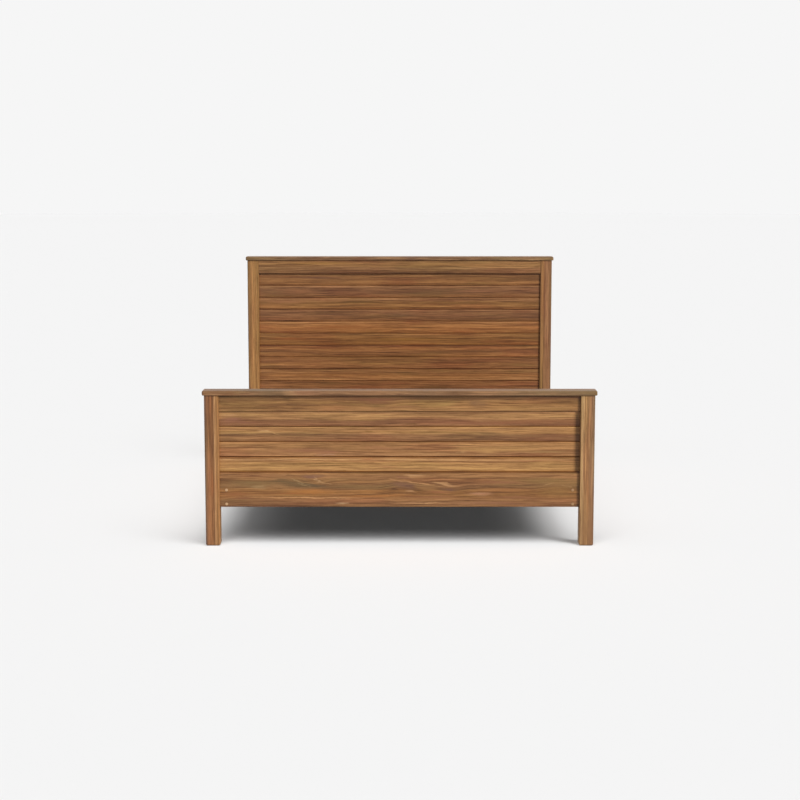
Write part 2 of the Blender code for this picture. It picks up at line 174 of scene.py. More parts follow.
def subtract(piece, build):
    mesh = bpy.data.meshes.new("cutter")
    build.to_mesh(mesh)
    build.free()
    cutter = bpy.data.objects.new("cutter", mesh)
    bpy.context.scene.collection.objects.link(cutter)
    modifier = piece.modifiers.new("cut", "BOOLEAN")
    modifier.operation = "DIFFERENCE"
    modifier.solver = "EXACT"
    modifier.object = cutter
    bake_modifiers(piece)
    bpy.data.objects.remove(cutter, do_unlink=True)
    bpy.data.meshes.remove(mesh)


def bake_modifiers(piece):
    bpy.context.view_layer.update()
    graph = bpy.context.evaluated_depsgraph_get()
    mesh = bpy.data.meshes.new_from_object(piece.evaluated_get(graph), preserve_all_data_layers=True, depsgraph=graph)
    old = piece.data
    piece.modifiers.clear()
    piece.data = mesh
    mesh.name = piece.name
    bpy.data.meshes.remove(old)


def smooth(piece, angle=38.0):
    """Rounded edges shade round while the wide faces stay flat."""
    piece.data.shade_smooth()
    piece.data.set_sharp_from_angle(angle=math.radians(angle))
    weighted = piece.modifiers.new("weighted", "WEIGHTED_NORMAL")
    weighted.mode = "FACE_AREA"
    weighted.weight = 50
    weighted.keep_sharp = True
    bake_modifiers(piece)


def lathe(name, profile, centre, steps=48, closed=False, axis="Z"):
    """Turns (radius, height) points round an axis. An open profile starts and ends on the axis."""
    build = bmesh.new()
    columns = []
    for r, h in profile:
        if r < 1e-6:
            columns.append([build.verts.new((0.0, 0.0, h))])
        else:
            columns.append([build.verts.new((r * math.cos(2 * math.pi * s / steps), r * math.sin(2 * math.pi * s / steps), h)) for s in range(steps)])
    pairs = list(zip(columns, columns[1:]))
    if closed:
        pairs.append((columns[-1], columns[0]))
    for a, b in pairs:
        for s in range(steps):
            t = (s + 1) % steps
            if len(a) == 1 and len(b) == 1:
                continue
            if len(a) == 1:
                build.faces.new((a[0], b[t], b[s]))
            elif len(b) == 1:
                build.faces.new((a[s], a[t], b[0]))
            else:
                build.faces.new((a[s], a[t], b[t], b[s]))
    bmesh.ops.recalc_face_normals(build, faces=build.faces)
    turn = {"X": Matrix.Rotation(math.pi / 2, 4, "Y"), "-X": Matrix.Rotation(-math.pi / 2, 4, "Y"), "Y": Matrix.Rotation(-math.pi / 2, 4, "X"),
            "-Y": Matrix.Rotation(math.pi / 2, 4, "X"), "Z": Matrix()}[axis]
    build.transform(Matrix.Translation(centre) @ turn)
    mesh = bpy.data.meshes.new(name)
    build.to_mesh(mesh)
    build.free()
    made = bpy.data.objects.new(name, mesh)
    bpy.context.scene.collection.objects.link(made)
    return made


# ================================================================ materials
def lin(c):
    return tuple((v / 255 / 12.92) if v / 255 <= 0.04045 else ((v / 255 + 0.055) / 1.055) ** 2.4 for v in c)


LEVEL = 0.835  # timber colours are given as they look in the studio light; this turns them into surface colour


HAZE = 0.010  # what the lacquer's sheen adds to the look of a lit face


def tone(c, k=1.0):
    r, g, b = (max(v - HAZE, 0.15 * v) * LEVEL * k for v in lin(c))
    return (min(r, 1.0), min(g, 1.0), min(b, 1.0), 1.0)


class Graph:
    """A small helper for writing a node material."""

    def __init__(self, name):
        self.material = bpy.data.materials.new(name)
        self.material.use_nodes = True
        self.tree = self.material.node_tree
        self.shader = self.tree.nodes["Principled BSDF"]
        self.object = self.node("ShaderNodeTexCoord").outputs["Object"]

    def node(self, kind, **settings):
        made = self.tree.nodes.new(kind)
        for key, value in settings.items():
            setattr(made, key, value)
        return made

    def put(self, socket, value):
        if isinstance(value, bpy.types.NodeSocket):
            self.tree.links.new(value, socket)
        else:
            socket.default_value = value

    def math(self, op, a, b=0.0, c=0.0, clamp=False):
        made = self.node("ShaderNodeMath", operation=op, use_clamp=clamp)
        for socket, value in zip(made.inputs, (a, b, c)):
            self.put(socket, value)
        return made.outputs[0]

    def vector(self, op, a, b=(0, 0, 0), c=(0, 0, 0)):
        made = self.node("ShaderNodeVectorMath", operation=op)
        self.put(made.inputs[0], a)
        self.put(made.inputs[1], b)
        self.put(made.inputs[2], c)
        return made.outputs["Value"] if op in ("LENGTH", "DOT_PRODUCT", "DISTANCE") else made.outputs["Vector"]

    def noise(self, at, scale, seed=(0, 0, 0), detail=2.0, rough=0.5, colour=False):
        made = self.node("ShaderNodeTexNoise")
        made.inputs["Scale"].default_value = 1.0
        made.inputs["Detail"].default_value = detail
        made.inputs["Roughness"].default_value = rough
        self.put(made.inputs["Vector"], self.vector("MULTIPLY_ADD", at, scale, seed))
        return made.outputs["Color"] if colour else made.outputs["Fac"]

    def step(self, value, a, b, low=0.0, high=1.0, smooth=True):
        made = self.node("ShaderNodeMapRange", interpolation_type="SMOOTHSTEP" if smooth else "LINEAR")
        for socket, v in zip(made.inputs, (value, a, b, low, high)):
            self.put(socket, v)
        return made.outputs[0]

    def mix(self, mode, factor, a, b):
        made = self.node("ShaderNodeMix", data_type="RGBA", blend_type=mode)
        self.put(made.inputs[0], factor)
        self.put(made.inputs[6], a)
        self.put(made.inputs[7], b)
        return made.outputs[2]

    def ramp(self, value, stops, mode="EASE"):
        made = self.node("ShaderNodeValToRGB")
        made.color_ramp.interpolation = mode
        elements = made.color_ramp.elements
        while len(elements) > 1:
            elements.remove(elements[-1])
        elements[0].position = stops[0][0]
        elements[0].color = stops[0][1]
        for place, colour in stops[1:]:
            elements.new(place).color = colour
        self.put(made.inputs[0], value)
        return made.outputs[0]

    def part(self, vector, axis):
        made = self.node("ShaderNodeSeparateXYZ")
        self.put(made.inputs[0], vector)
        return made.outputs[axis]

    def finish(self, colour, rough, bump=None, distance=0.0002, strength=1.0):
        self.put(self.shader.inputs["Base Color"], colour)
        self.put(self.shader.inputs["Roughness"], rough)
        if bump is not None:
            made = self.node("ShaderNodeBump")
            made.inputs["Strength"].default_value = strength
            made.inputs["Distance"].default_value = distance
            self.put(made.inputs["Height"], bump)
            self.tree.links.new(made.outputs[0], self.shader.inputs["Normal"])
        return self.material


AXES = {"x": 0, "y": 1, "z": 2}


def spread(along, a, b, c=None):
    """A scale vector: a along the grain, b across it on the face, c through the thickness."""
    c = b if c is None else c
    return {"x": (a, c, b), "z": (b, c, a), "y": (c, a, b)}[along]


def wood(name, along, across, low, high, ramp, seed, spots=(), dips=(), streak=1.0, fine=1.0, red=0.5, olive=0.5,
         wave=0.006, rough=0.43, k=1.0, depth=None, pore=0.5, knots=0.0, end=0.62, ramp_mode="EASE", rings_per_m=75.0, flow=7.0, painted_groove_shade=(),
         painted_post_shadow=()):
    """Oiled and lacquered hardwood. The grain runs along one axis. ramp gives the colour across the board from its low
    edge to its high edge; spots are darker, redder or lighter figure in the grain: (place, size, colour, strength)
    with place and size as (along, across) on the front face; dips bend the grain round (place along, place across, length,
    width, depth)."""
    g = Graph(name)
    g.shader.inputs["Specular IOR Level"].default_value = 0.24
    ia, ic = AXES[along], AXES[across]
    it = 3 - ia - ic
    co = g.object
    s = (seed * 1.37, seed * 2.11, seed * 0.73)

    def vec(a, c, t=0.0):
        v = [0.0, 0.0, 0.0]
        v[ia], v[ic], v[it] = a, c, t
        return tuple(v)

    # slow wander of the grain along the board
    drift = g.noise(co, vec(1.9, 7.0, 5.0), s, 2.0, 0.5, colour=True)
    drift = g.vector("SUBTRACT", drift, (0.5, 0.5, 0.5))
    at = g.vector("MULTIPLY_ADD", drift, vec(0.0, wave * 4.0, wave * 3.0), co)
    ripple = g.noise(co, vec(9.0, 30.0, 20.0), s, 2.0, 0.5, colour=True)
    ripple = g.vector("SUBTRACT", ripple, (0.5, 0.5, 0.5))
    at = g.vector("MULTIPLY_ADD", ripple, vec(0.0, wave * 0.7, wave * 0.5), at)
    for a, c, la, lc, amount in dips:
        off = g.vector("SUBTRACT", co, vec(a, c, depth or 0.0))
        off = g.vector("MULTIPLY", off, vec(1 / la, 1 / lc, 0.0))
        pull = g.step(g.vector("LENGTH", off), 1.0, 0.0)
        at = g.vector("ADD", at, scaled(g, pull, vec(0.0, amount)))

    t = g.step(g.part(at, ic), low, high, smooth=False)
    colour = g.ramp(t, [(p, tone(c, k)) for p, c in ramp], ramp_mode)

    broad = g.noise(at, vec(0.8, 34.0, 18.0), (s[1], s[2], s[0]), 3.0, 0.6)
    bands = g.noise(at, vec(3.0, 118.0, 60.0), (s[2], s[0], s[1]), 3.0, 0.6)
    lines = g.noise(at, vec(8.5, 290.0, 140.0), (s[1] + 3.0, s[0], s[2] + 1.0), 3.0, 0.6)
    long = g.noise(at, vec(1.7, 215.0, 110.0), (s[0], s[2] + 5.0, s[1]), 2.0, 0.6)
    hair = g.noise(at, vec(20.0, 700.0, 320.0), (s[0] + 9.0, s[1], s[2]), 2.0, 0.6)
    hue = g.noise(at, vec(2.2, 20.0, 12.0), (s[2] + 4.0, s[1] + 2.0, s[0]), 2.0, 0.5)
    fall = g.noise(at, vec(1.1, 9.0, 9.0), (s[0] + 2.0, s[1] + 6.0, s[2]), 2.0, 0.5)

    # growth layers: each darkens slowly across its width and stops at a crisp edge
    place = g.math("MULTIPLY_ADD", g.part(at, ic), rings_per_m, g.math("MULTIPLY", fall, flow))
    layer = g.math("FRACT", g.math("ADD", place, g.math("MULTIPLY", bands, 1.1)))
    layer = g.math("MULTIPLY", g.math("POWER", layer, 2.2), g.step(broad, 0.40, 0.60, 0.25, 1.0))

    colour = g.mix("MULTIPLY", g.step(hue, 0.53, 0.66, 0.0, red), colour, (0.98, 0.80, 0.86, 1.0))
    colour = g.mix("MULTIPLY", g.step(hue, 0.46, 0.34, 0.0, olive), colour, (0.82, 0.92, 0.82, 1.0))
    colour = g.mix("MULTIPLY", g.math("MULTIPLY", layer, 0.85 * streak), colour, (0.56, 0.54, 0.52, 1.0))
    colour = g.mix("MULTIPLY", g.step(broad, 0.52, 0.62, 0.0, 0.8 * streak), colour, (0.76, 0.74, 0.76, 1.0))
    colour = g.mix("MULTIPLY", g.step(broad, 0.47, 0.37, 0.0, 0.8 * streak), colour, (1.20, 1.22, 1.20, 1.0))
    colour = g.mix("MULTIPLY", g.step(bands, 0.53, 0.60, 0.0, 0.9 * streak), colour, (0.66, 0.61, 0.62, 1.0))
    colour = g.mix("MULTIPLY", g.step(bands, 0.45, 0.38, 0.0, 0.85 * streak), colour, (1.24, 1.27, 1.28, 1.0))
    colour = g.mix("MULTIPLY", g.step(long, 0.54, 0.59, 0.0, 0.7 * fine), colour, (0.68, 0.65, 0.61, 1.0))
    colour = g.mix("MULTIPLY", g.step(long, 0.44, 0.39, 0.0, 0.7 * fine), colour, (1.24, 1.27, 1.28, 1.0))
    colour = g.mix("MULTIPLY", g.step(lines, 0.53, 0.60, 0.0, 0.85 * fine), colour, (0.64, 0.59, 0.58, 1.0))
    colour = g.mix("MULTIPLY", g.step(lines, 0.45, 0.38, 0.0, 0.8 * fine), colour, (1.26, 1.29, 1.30, 1.0))
    colour = g.mix("MULTIPLY", g.step(hair, 0.54, 0.64, 0.0, 0.6 * fine), colour, (0.72, 0.69, 0.66, 1.0))

    # figure: patches of darker, redder or paler wood with ragged edges, drawn out along the grain and leaning with slope
    rag = g.vector("SUBTRACT", g.noise(co, vec(14.0, 60.0, 30.0), (s[2], s[0], s[1]), 3.0, 0.65, colour=True), (0.5, 0.5, 0.5))
    ragged = g.vector("MULTIPLY_ADD", rag, vec(0.09, 0.014, 0.0), at) if spots else at
    for spot in spots:
        (a, c), (la, lc), shade, strength = spot[:4]
        slope = spot[4] if len(spot) > 4 else 0.0
        off = g.vector("SUBTRACT", ragged, vec(a, c, depth or 0.0))
        if slope:
            off = g.vector("ADD", off, scaled(g, g.math("MULTIPLY", g.part(off, ia), -slope), vec(0.0, 1.0)))
        off = g.vector("MULTIPLY", off, vec(1 / la, 1 / lc, (1 / 0.012 if depth is not None else 0.0)))
        near = g.step(g.vector("LENGTH", off), 1.35, 0.10)
        grainy = g.step(g.math("MULTIPLY", g.math("ADD", bands, hair), 0.5), 0.38, 0.56, 0.35, 1.0, smooth=False)
        colour = g.mix("MIX", g.math("MULTIPLY", g.math("MULTIPLY", near, grainy), strength), colour, tone(shade, k))

    # open pores: short dark flecks along the grain
    flecks = g.noise(at, vec(85.0, 2100.0, 900.0), (s[1], s[0], s[2]), 1.0, 0.5)
    pores = g.step(flecks, 0.60, 0.72)
    colour = g.mix("MULTIPLY", g.math("MULTIPLY", pores, pore), colour, (0.60, 0.52, 0.46, 1.0))

    if knots:
        cells = g.node("ShaderNodeTexVoronoi", feature="F1", distance="EUCLIDEAN")
        cells.inputs["Scale"].default_value = 1.0
        g.put(cells.inputs["Vector"], g.vector("MULTIPLY_ADD", co, vec(3.2, 11.0, 7.0), s))
        eye = g.step(cells.outputs["Distance"], 0.16, 0.05, 0.0, knots)
        colour = g.mix("MULTIPLY", eye, colour, (0.46, 0.32, 0.22, 1.0))

    # painted shade: narrow dark bands along given edges stand in for the shade in the V grooves where the boards meet
    for edge, width, strength in painted_groove_shade:
        off = g.math("ABSOLUTE", g.math("SUBTRACT", g.part(co, ic), edge))
        colour = g.mix("MULTIPLY", g.step(off, width, width * 0.45, 0.0, strength), colour, (0.46, 0.31, 0.15, 1.0))

    # painted shadow: a board darkens across a strip near a given place along it, standing in for the shadow a post
    # casts on the sunk boards
    for edge, width, strength in painted_post_shadow:
        off = g.math("ABSOLUTE", g.math("SUBTRACT", g.part(co, ia), edge))
        colour = g.mix("MULTIPLY", g.step(off, width, width * 0.15, 0.0, strength), colour, (0.50, 0.46, 0.40, 1.0))

    # end grain: darker, with growth rings across the section
    facing = g.node("ShaderNodeNewGeometry").outputs["Normal"]
    ends = g.step(g.math("ABSOLUTE", g.part(facing, ia)), 0.72, 0.95)
    centre = vec(0.0, low - 0.9 * (high - low), (depth or 0.0) + 0.05)
    radius = g.vector("LENGTH", g.vector("MULTIPLY", g.vector("SUBTRACT", at, centre), vec(0.0, 1.0, 1.0)))
    rings = g.math("SINE", g.math("MULTIPLY", g.math("ADD", radius, g.math("MULTIPLY", hue, 0.006)), 2300.0))
    speck = g.noise(co, (1500.0, 1500.0, 1500.0), s, 1.0, 0.5)
    ring_dark = g.math("MULTIPLY", g.step(rings, 0.1, 1.0), 0.45)
    end_colour = g.mix("MULTIPLY", 1.0, colour, (end, end * 0.93, end * 0.86, 1.0))
    end_colour = g.mix("MULTIPLY", ring_dark, end_colour, (0.62, 0.55, 0.50, 1.0))
    end_colour = g.mix("MULTIPLY", g.step(speck, 0.58, 0.72, 0.0, 0.5), end_colour, (0.50, 0.44, 0.40, 1.0))
    colour = g.mix("MIX", ends, colour, end_colour)

    height = g.math("ADD", g.math("MULTIPLY", hair, 0.5), g.math("MULTIPLY", pores, -0.5))
    sheen = g.math("ADD", g.math("MULTIPLY", hair, 0.16), g.math("MULTIPLY", pores, 0.12))
    roughness = g.math("ADD", sheen, rough - 0.08)
    roughness = g.math("MULTIPLY_ADD", ends, 0.14, roughness)
    return g.finish(colour, roughness, height, 0.00018, 0.55)


def scaled(g, factor, vector):
    made = g.node("ShaderNodeVectorMath", operation="SCALE")
    made.inputs[0].default_value = vector
    g.put(made.inputs["Scale"], factor)
    return made.outputs["Vector"]


def metal(name, colour, rough, blotch=0.10, along=None):
    """Plated or turned metal with fine marks and a little unevenness in the plating."""
    g = Graph(name)
    cloud = g.noise(g.object, (60, 60, 60), (3, 1, 2), 3.0, 0.6)
    scratch = g.noise(g.object, (900, 900, 140), (1, 5, 2), 2.0, 0.6)
    base = (*lin(colour), 1.0)
    shade = g.mix("MULTIPLY", g.step(cloud, 0.45, 0.70, 0.0, blotch * 4), base, (0.72, 0.74, 0.78, 1.0))
    shade = g.mix("MULTIPLY", g.step(scratch, 0.50, 0.72, 0.0, 0.5), shade, (0.82, 0.82, 0.82, 1.0))
    g.shader.inputs["Metallic"].default_value = 1.0
    roughness = g.math("ADD", g.math("MULTIPLY", cloud, 0.22), g.math("MULTIPLY_ADD", scratch, 0.16, rough - 0.18))
    return g.finish(shade, roughness, scratch, 0.00005, 0.5)


def plastic(name, colour, rough):
    """Moulded plastic with a fine spark-eroded texture and scuffs."""
    g = Graph(name)
    grain = g.noise(g.object, (2600, 2600, 2600), (0, 0, 0), 2.0, 0.6)
    scuff = g.noise(g.object, (240, 240, 40), (5, 2, 1), 3.0, 0.6)
    base = (*lin(colour), 1.0)
    shade = g.mix("MIX", g.step(scuff, 0.56, 0.74, 0.0, 0.5), base, (0.10, 0.10, 0.10, 1.0))
    roughness = g.math("MULTIPLY_ADD", grain, 0.2, rough - 0.1)
    return g.finish(shade, roughness, grain, 0.00008, 0.6)


# ================================================================ the timber pieces
def settle(piece, slot, material, *nodes, angle=38.0):
    smooth(piece, angle)
    piece.data.materials.clear()
    piece.data.materials.append(material)
    for polygon in piece.data.polygons:
        polygon.material_index = 0
    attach(piece, STATIC)
    if nodes:
        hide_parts(*nodes)
    return piece


def post(name, side, front, height, top_low, top_set, top_thick, rail_set, plank_set, material):
    x0, x1 = sorted((side * POST_IN, side * POST_OUT))
    y0, y1 = front, front + POST

    def ring(d, r=0.003):
        return rounded_rect(x0 + d, y0 + d, x1 - d, y1 - d, max(r - d * 0.45, 0.0010), 5)

    levels = [(0.0, ring(0.0052)), (0.0002, ring(0.0049)), (0.0046, ring(0.0006)), (0.0050, ring(0.0003)), (0.0057, ring(0.0))]
    steps = 12
    for n in range(1, steps):
        levels.append((0.0057 + (height - 0.0062) * n / steps, ring(0.0)))
    levels += [(height - 0.0004, ring(0.0)), (height, ring(0.0004))]
    made = stack(f"visual_{name}", "Z", levels)
    mouth = side * (POST_IN - 0.01)

    def slot(depth, y, thick, z0, z1):
        edge = side * (POST_IN + depth)
        return ((min(edge, mouth), y - GAP, z0), (max(edge, mouth), y + thick + GAP, z1))

    tenon_y = front + rail_set + (0.030 - TENON_THICK) / 2
    top_y = front + top_set + (top_thick - TENON_THICK) / 2
    carve(made, [
        slot(HOUSING, front + plank_set, PLANK_THICK, RAIL_TOP - EDGE_HOUSING, top_low + EDGE_HOUSING),
        slot(TENON + GAP, tenon_y, TENON_THICK, RAIL_LOW - GAP, RAIL_TOP + GAP),
        slot(TENON + GAP, top_y, TENON_THICK, top_low - GAP, height + 0.01),
    ])
    return settle(made, "timber_posts", material, name)


def cap(name, front, low, material):
    x, r = POST_OUT + 0.008, 0.008
    y0, y1 = front - 0.010, front + POST + 0.010
    z0, z1 = low + GAP, low + 0.020

    def ring(d):
        return rounded_rect(-x + d, y0 + d, x - d, y1 - d, max(r - d, 0.0012), 8)

    levels = [(z0, ring(0.0020)), (z0 + 0.0002, ring(0.0015)), (z0 + 0.0016, ring(0.0002)), (z0 + 0.0021, ring(0.0))]
    for n in range(0, 9):
        a = math.pi / 2 * n / 8
        levels.append((z1 - 0.006 * (1 - math.sin(a)), ring(0.006 * (1 - math.cos(a)))))
    made = stack(f"visual_{name}", "Z", levels)
    return settle(made, "timber_caps", material, name)


def plank(name, front, low, high, first, last, slot, material):
    """A board with a tongue along its top edge, a groove along its bottom edge and small chamfers on its face."""
    y0, y1 = front, front + PLANK_THICK
    mid = front + PLANK_THICK / 2
    z0, z1 = low + GAP / 2, high - GAP / 2
    v, b = 0.0022, 0.0010
    pts, rad = [], []

    def add(y, z, r=0.0):
        pts.append((y, z))
        rad.append(r)

    if first:
        seat = low - EDGE_HOUSING + GAP
        add(y0, seat, 0.0005)
        add(y1, seat, 0.0005)
    else:
        w, d = 0.003 + GAP, 0.007 + 2 * GAP
        add(y0, z0 + v, 0.0014)
        add(y0 + v, z0, 0.0005)
        add(mid - w, z0)
        add(mid - w, z0 + d)
        add(mid + w, z0 + d)
        add(mid + w, z0)
        add(y1 - b, z0, 0.0003)
        add(y1, z0 + b, 0.0006)
    if last:
        seat = high + EDGE_HOUSING - GAP
        add(y1, seat, 0.0005)
        add(y0, seat, 0.0005)
    else:
        w = 0.003
        add(y1, z1 - b, 0.0006)
        add(y1 - b, z1, 0.0003)
        add(mid + w, z1)
        add(mid + w, z1 + 0.007, 0.0006)
        add(mid - w, z1 + 0.007, 0.0006)
        add(mid - w, z1)
        add(y0 + v, z1, 0.0005)
        add(y0, z1 - v, 0.0014)
    outline = fillet(pts, rad, 3)
    half = POST_IN + HOUSING - 0.002
    made = stack(f"visual_{name}", "X", [(-half + 2 * half * n / 16, outline) for n in range(17)])
    return settle(made, slot, material, name)


def framing_rail(name, front, setback, thick, z0, z1, groove_up, board, slot, material, bores=()):
    """A rail with a tenon at each end and a groove for the nearest board."""
    reach = POST_IN + TENON
    y0, y1 = front + setback, front + setback + thick
    g0, g1 = board - GAP, board + PLANK_THICK + GAP
    r = 0.0015
    if groove_up:
        pts = [(y0, z0), (y1, z0), (y1, z1), (g1, z1), (g1, z1 - EDGE_HOUSING), (g0, z1 - EDGE_HOUSING), (g0, z1), (y0, z1)]
        rad = [r, r, r, 0.0004, 0.0, 0.0, 0.0004, r]
    else:
        pts = [(y0, z0), (g0, z0), (g0, z0 + EDGE_HOUSING), (g1, z0 + EDGE_HOUSING), (g1, z0), (y1, z0), (y1, z1), (y0, z1)]
        rad = [r, 0.0004, 0.0, 0.0, 0.0004, r, r, r]
    outline = fillet(pts, rad, 4)
    made = stack(f"visual_{name}", "X", [(-reach + 2 * reach * n / 16, outline) for n in range(17)])
    cheek0 = y0 + (thick - TENON_THICK) / 2
    cheek1 = cheek0 + TENON_THICK
    boxes = []
    for side in (-1, 1):
        a, b = sorted((side * (POST_IN - GAP), side * (reach + 0.01)))
        boxes += [((a, y0 - 0.01, z0 - 0.01), (b, cheek0, z1 + 0.01)), ((a, cheek1, z0 - 0.01), (b, y1 + 0.01, z1 + 0.01))]
    carve(made, boxes, bores)
    return settle(made, slot, material, name)


GOLD, TAN, BROWN, RED, OLIVE, PURPLE, DARK = (
    (166, 122, 78), (152, 108, 72), (134, 95, 64), (148, 98, 66), (116, 90, 60), (132, 92, 72), (96, 66, 42),
)
LIGHT = (190, 146, 102)

F, H = FOOT_Y, HEAD_Y

# painted shade: each post's colour ramp darkens towards its outer edge, standing in for the shade on the rounded outer
# corner
post("foot_post_left", -1, F, FOOT_CAP_LOW, FOOT_TOP_LOW, 0.012, 0.030, 0.012, 0.020, wood(
    "timber_foot_post_left", "z", "x", -POST_OUT, -POST_IN,
    [(0.0, (104, 80, 62)), (0.08, (122, 90, 68)), (0.20, (142, 98, 68)), (0.45, (148, 102, 67)), (0.64, (142, 100, 66)), (0.69, (180, 136, 94)), (0.77, (178, 132, 88)), (0.82, (152, 110, 70)), (1.0, (156, 112, 72))],
    1.0, streak=0.55, wave=0.0012, spots=[
        ((0.46, -0.806), (0.10, 0.006), (108, 84, 60), 0.6), ((0.33, -0.797), (0.09, 0.006), (142, 96, 74), 0.6),
        ((0.27, -0.785), (0.07, 0.006), (158, 98, 62), 0.5), ((0.60, -0.79), (0.05, 0.007), (160, 104, 66), 0.5)]))
post("foot_post_right", 1, F, FOOT_CAP_LOW, FOOT_TOP_LOW, 0.012, 0.030, 0.012, 0.020, wood(
    "timber_foot_post_right", "z", "x", POST_IN, POST_OUT,
    [(0.0, (162, 122, 80)), (0.12, (180, 143, 100)), (0.26, (174, 136, 94)), (0.31, (136, 98, 62)), (0.36, (168, 128, 85)), (0.60, (162, 123, 82)), (0.68, (146, 111, 76)), (0.86, (152, 118, 86)), (1.0, (122, 99, 76))],
    2.0, streak=0.55, wave=0.0012, spots=[
        # The first spot darkens the whole width of the post near its foot.
        ((0.06, 0.793), (0.16, 0.050), (130, 94, 66), 0.80), ((0.32, 0.797), (0.09, 0.006), (138, 103, 76), 0.6),
        ((0.20, 0.788), (0.10, 0.006), (158, 108, 70), 0.5)]))
post("head_post_left", -1, H, HEAD_CAP_LOW, HEAD_TOP_LOW, 0.0005, 0.045, 0.012, 0.018, wood(
    "timber_head_post_left", "z", "x", -POST_OUT, -POST_IN,
    [(0.0, (106, 82, 58)), (0.12, (136, 102, 66)), (0.35, (162, 121, 77)), (0.60, (156, 116, 73)), (0.70, (132, 94, 58)), (0.76, (156, 116, 74)), (1.0, (142, 102, 64))],
    3.0, streak=0.5, wave=0.0012))
post("head_post_right", 1, H, HEAD_CAP_LOW, HEAD_TOP_LOW, 0.0005, 0.045, 0.012, 0.018, wood(
    "timber_head_post_right", "z", "x", POST_IN, POST_OUT,
    [(0.0, (138, 102, 66)), (0.26, (148, 109, 70)), (0.32, (128, 92, 60)), (0.40, (146, 106, 74)), (0.8, (142, 102, 72)), (1.0, (116, 88, 64))],
    4.0, streak=0.5, wave=0.0012))

cap("foot_cap", F, FOOT_CAP_LOW, wood(
    "timber_foot_cap", "x", "y", F - 0.01, F + 0.07,
    [(0.0, (134, 101, 72)), (0.12, (142, 108, 78)), (0.35, (150, 114, 84)), (0.7, (142, 108, 78)), (1.0, (146, 110, 80))], 5.0, streak=0.9, wave=0.004, red=0.2, olive=0.9,
    spots=[((-0.52, F - 0.01), (0.09, 0.03), (110, 88, 64), 0.7), ((-0.74, F - 0.01), (0.12, 0.04), (130, 88, 62), 0.8),
           ((0.64, F - 0.01), (0.26, 0.04), (124, 102, 74), 0.7), ((0.25, F - 0.01), (0.05, 0.02), (104, 76, 54), 0.7),
           ((-0.39, F - 0.01), (0.07, 0.02), (156, 112, 82), 0.6), ((-0.45, F - 0.005), (0.04, 0.006), (178, 138, 98), 0.6),
           ((0.12, F - 0.01), (0.10, 0.02), (132, 102, 76), 0.6), ((-0.10, F - 0.01), (0.10, 0.02), (150, 110, 78), 0.5)]))
cap("head_cap", H, HEAD_CAP_LOW, wood(
    "timber_head_cap", "x", "y", H - 0.01, H + 0.07,
    [(0.0, (136, 104, 76)), (0.5, (142, 106, 74)), (1.0, (132, 98, 70))], 6.0, streak=0.8, wave=0.004, olive=0.8,
    spots=[((-0.45, H - 0.01), (0.07, 0.03), (104, 74, 54), 0.7), ((0.06, H - 0.01), (0.05, 0.03), (96, 70, 56), 0.7),
           ((-0.20, H - 0.01), (0.05, 0.02), (116, 76, 56), 0.6)]))

# The top rail's ramp darkens in its upper third: partly the board's own darker stave, partly painted shade under the
# cap.
framing_rail("foot_top_rail", F, 0.012, 0.030, FOOT_TOP_LOW, FOOT_CAP_LOW, False, FOOT_BOARD, "timber_rails", wood(
    "timber_foot_top_rail", "x", "z", FOOT_TOP_LOW, FOOT_CAP_LOW,
    [(0.0, (146, 106, 66)), (0.10, (152, 111, 72)), (0.30, (152, 110, 70)), (0.55, (142, 104, 66)), (0.78, (130, 94, 62)), (0.90, (130, 93, 60)), (1.0, (150, 104, 60))], 7.0,
    streak=0.65, wave=0.005, depth=F + 0.012,
    dips=[(-0.10, 0.600, 0.20, 0.040, 0.008)],
    spots=[((-0.465, 0.624), (0.045, 0.009), (88, 66, 42), 0.85), ((-0.095, 0.618), (0.10, 0.014), (124, 82, 60), 0.8),
           ((-0.095, 0.596), (0.05, 0.009), (112, 86, 54), 0.75), ((-0.18, 0.602), (0.06, 0.005), (134, 100, 60), 0.6),
           ((0.325, 0.604), (0.040, 0.020), (122, 90, 66), 0.75), ((0.17, 0.626), (0.09, 0.005), (98, 68, 42), 0.85),
           ((0.18, 0.600), (0.055, 0.011), (166, 132, 80), 0.75, 0.05), ((0.64, 0.590), (0.11, 0.003), (180, 136, 88), 0.8),
           ((0.45, 0.592), (0.10, 0.003), (172, 128, 80), 0.6), ((-0.58, 0.606), (0.07, 0.004), (160, 122, 76), 0.6),
           ((-0.30, 0.606), (0.10, 0.004), (164, 122, 74), 0.6), ((-0.70, 0.618), (0.05, 0.008), (134, 94, 62), 0.6),
           ((0.02, 0.590), (0.08, 0.004), (158, 110, 78), 0.6), ((0.50, 0.615), (0.14, 0.006), (118, 84, 56), 0.6)]))
bores = [((side * 0.727, F + 0.012, z), 0.0063, 0.016, "Y") for side in (-1, 1) for z in (0.1765, 0.2360)]
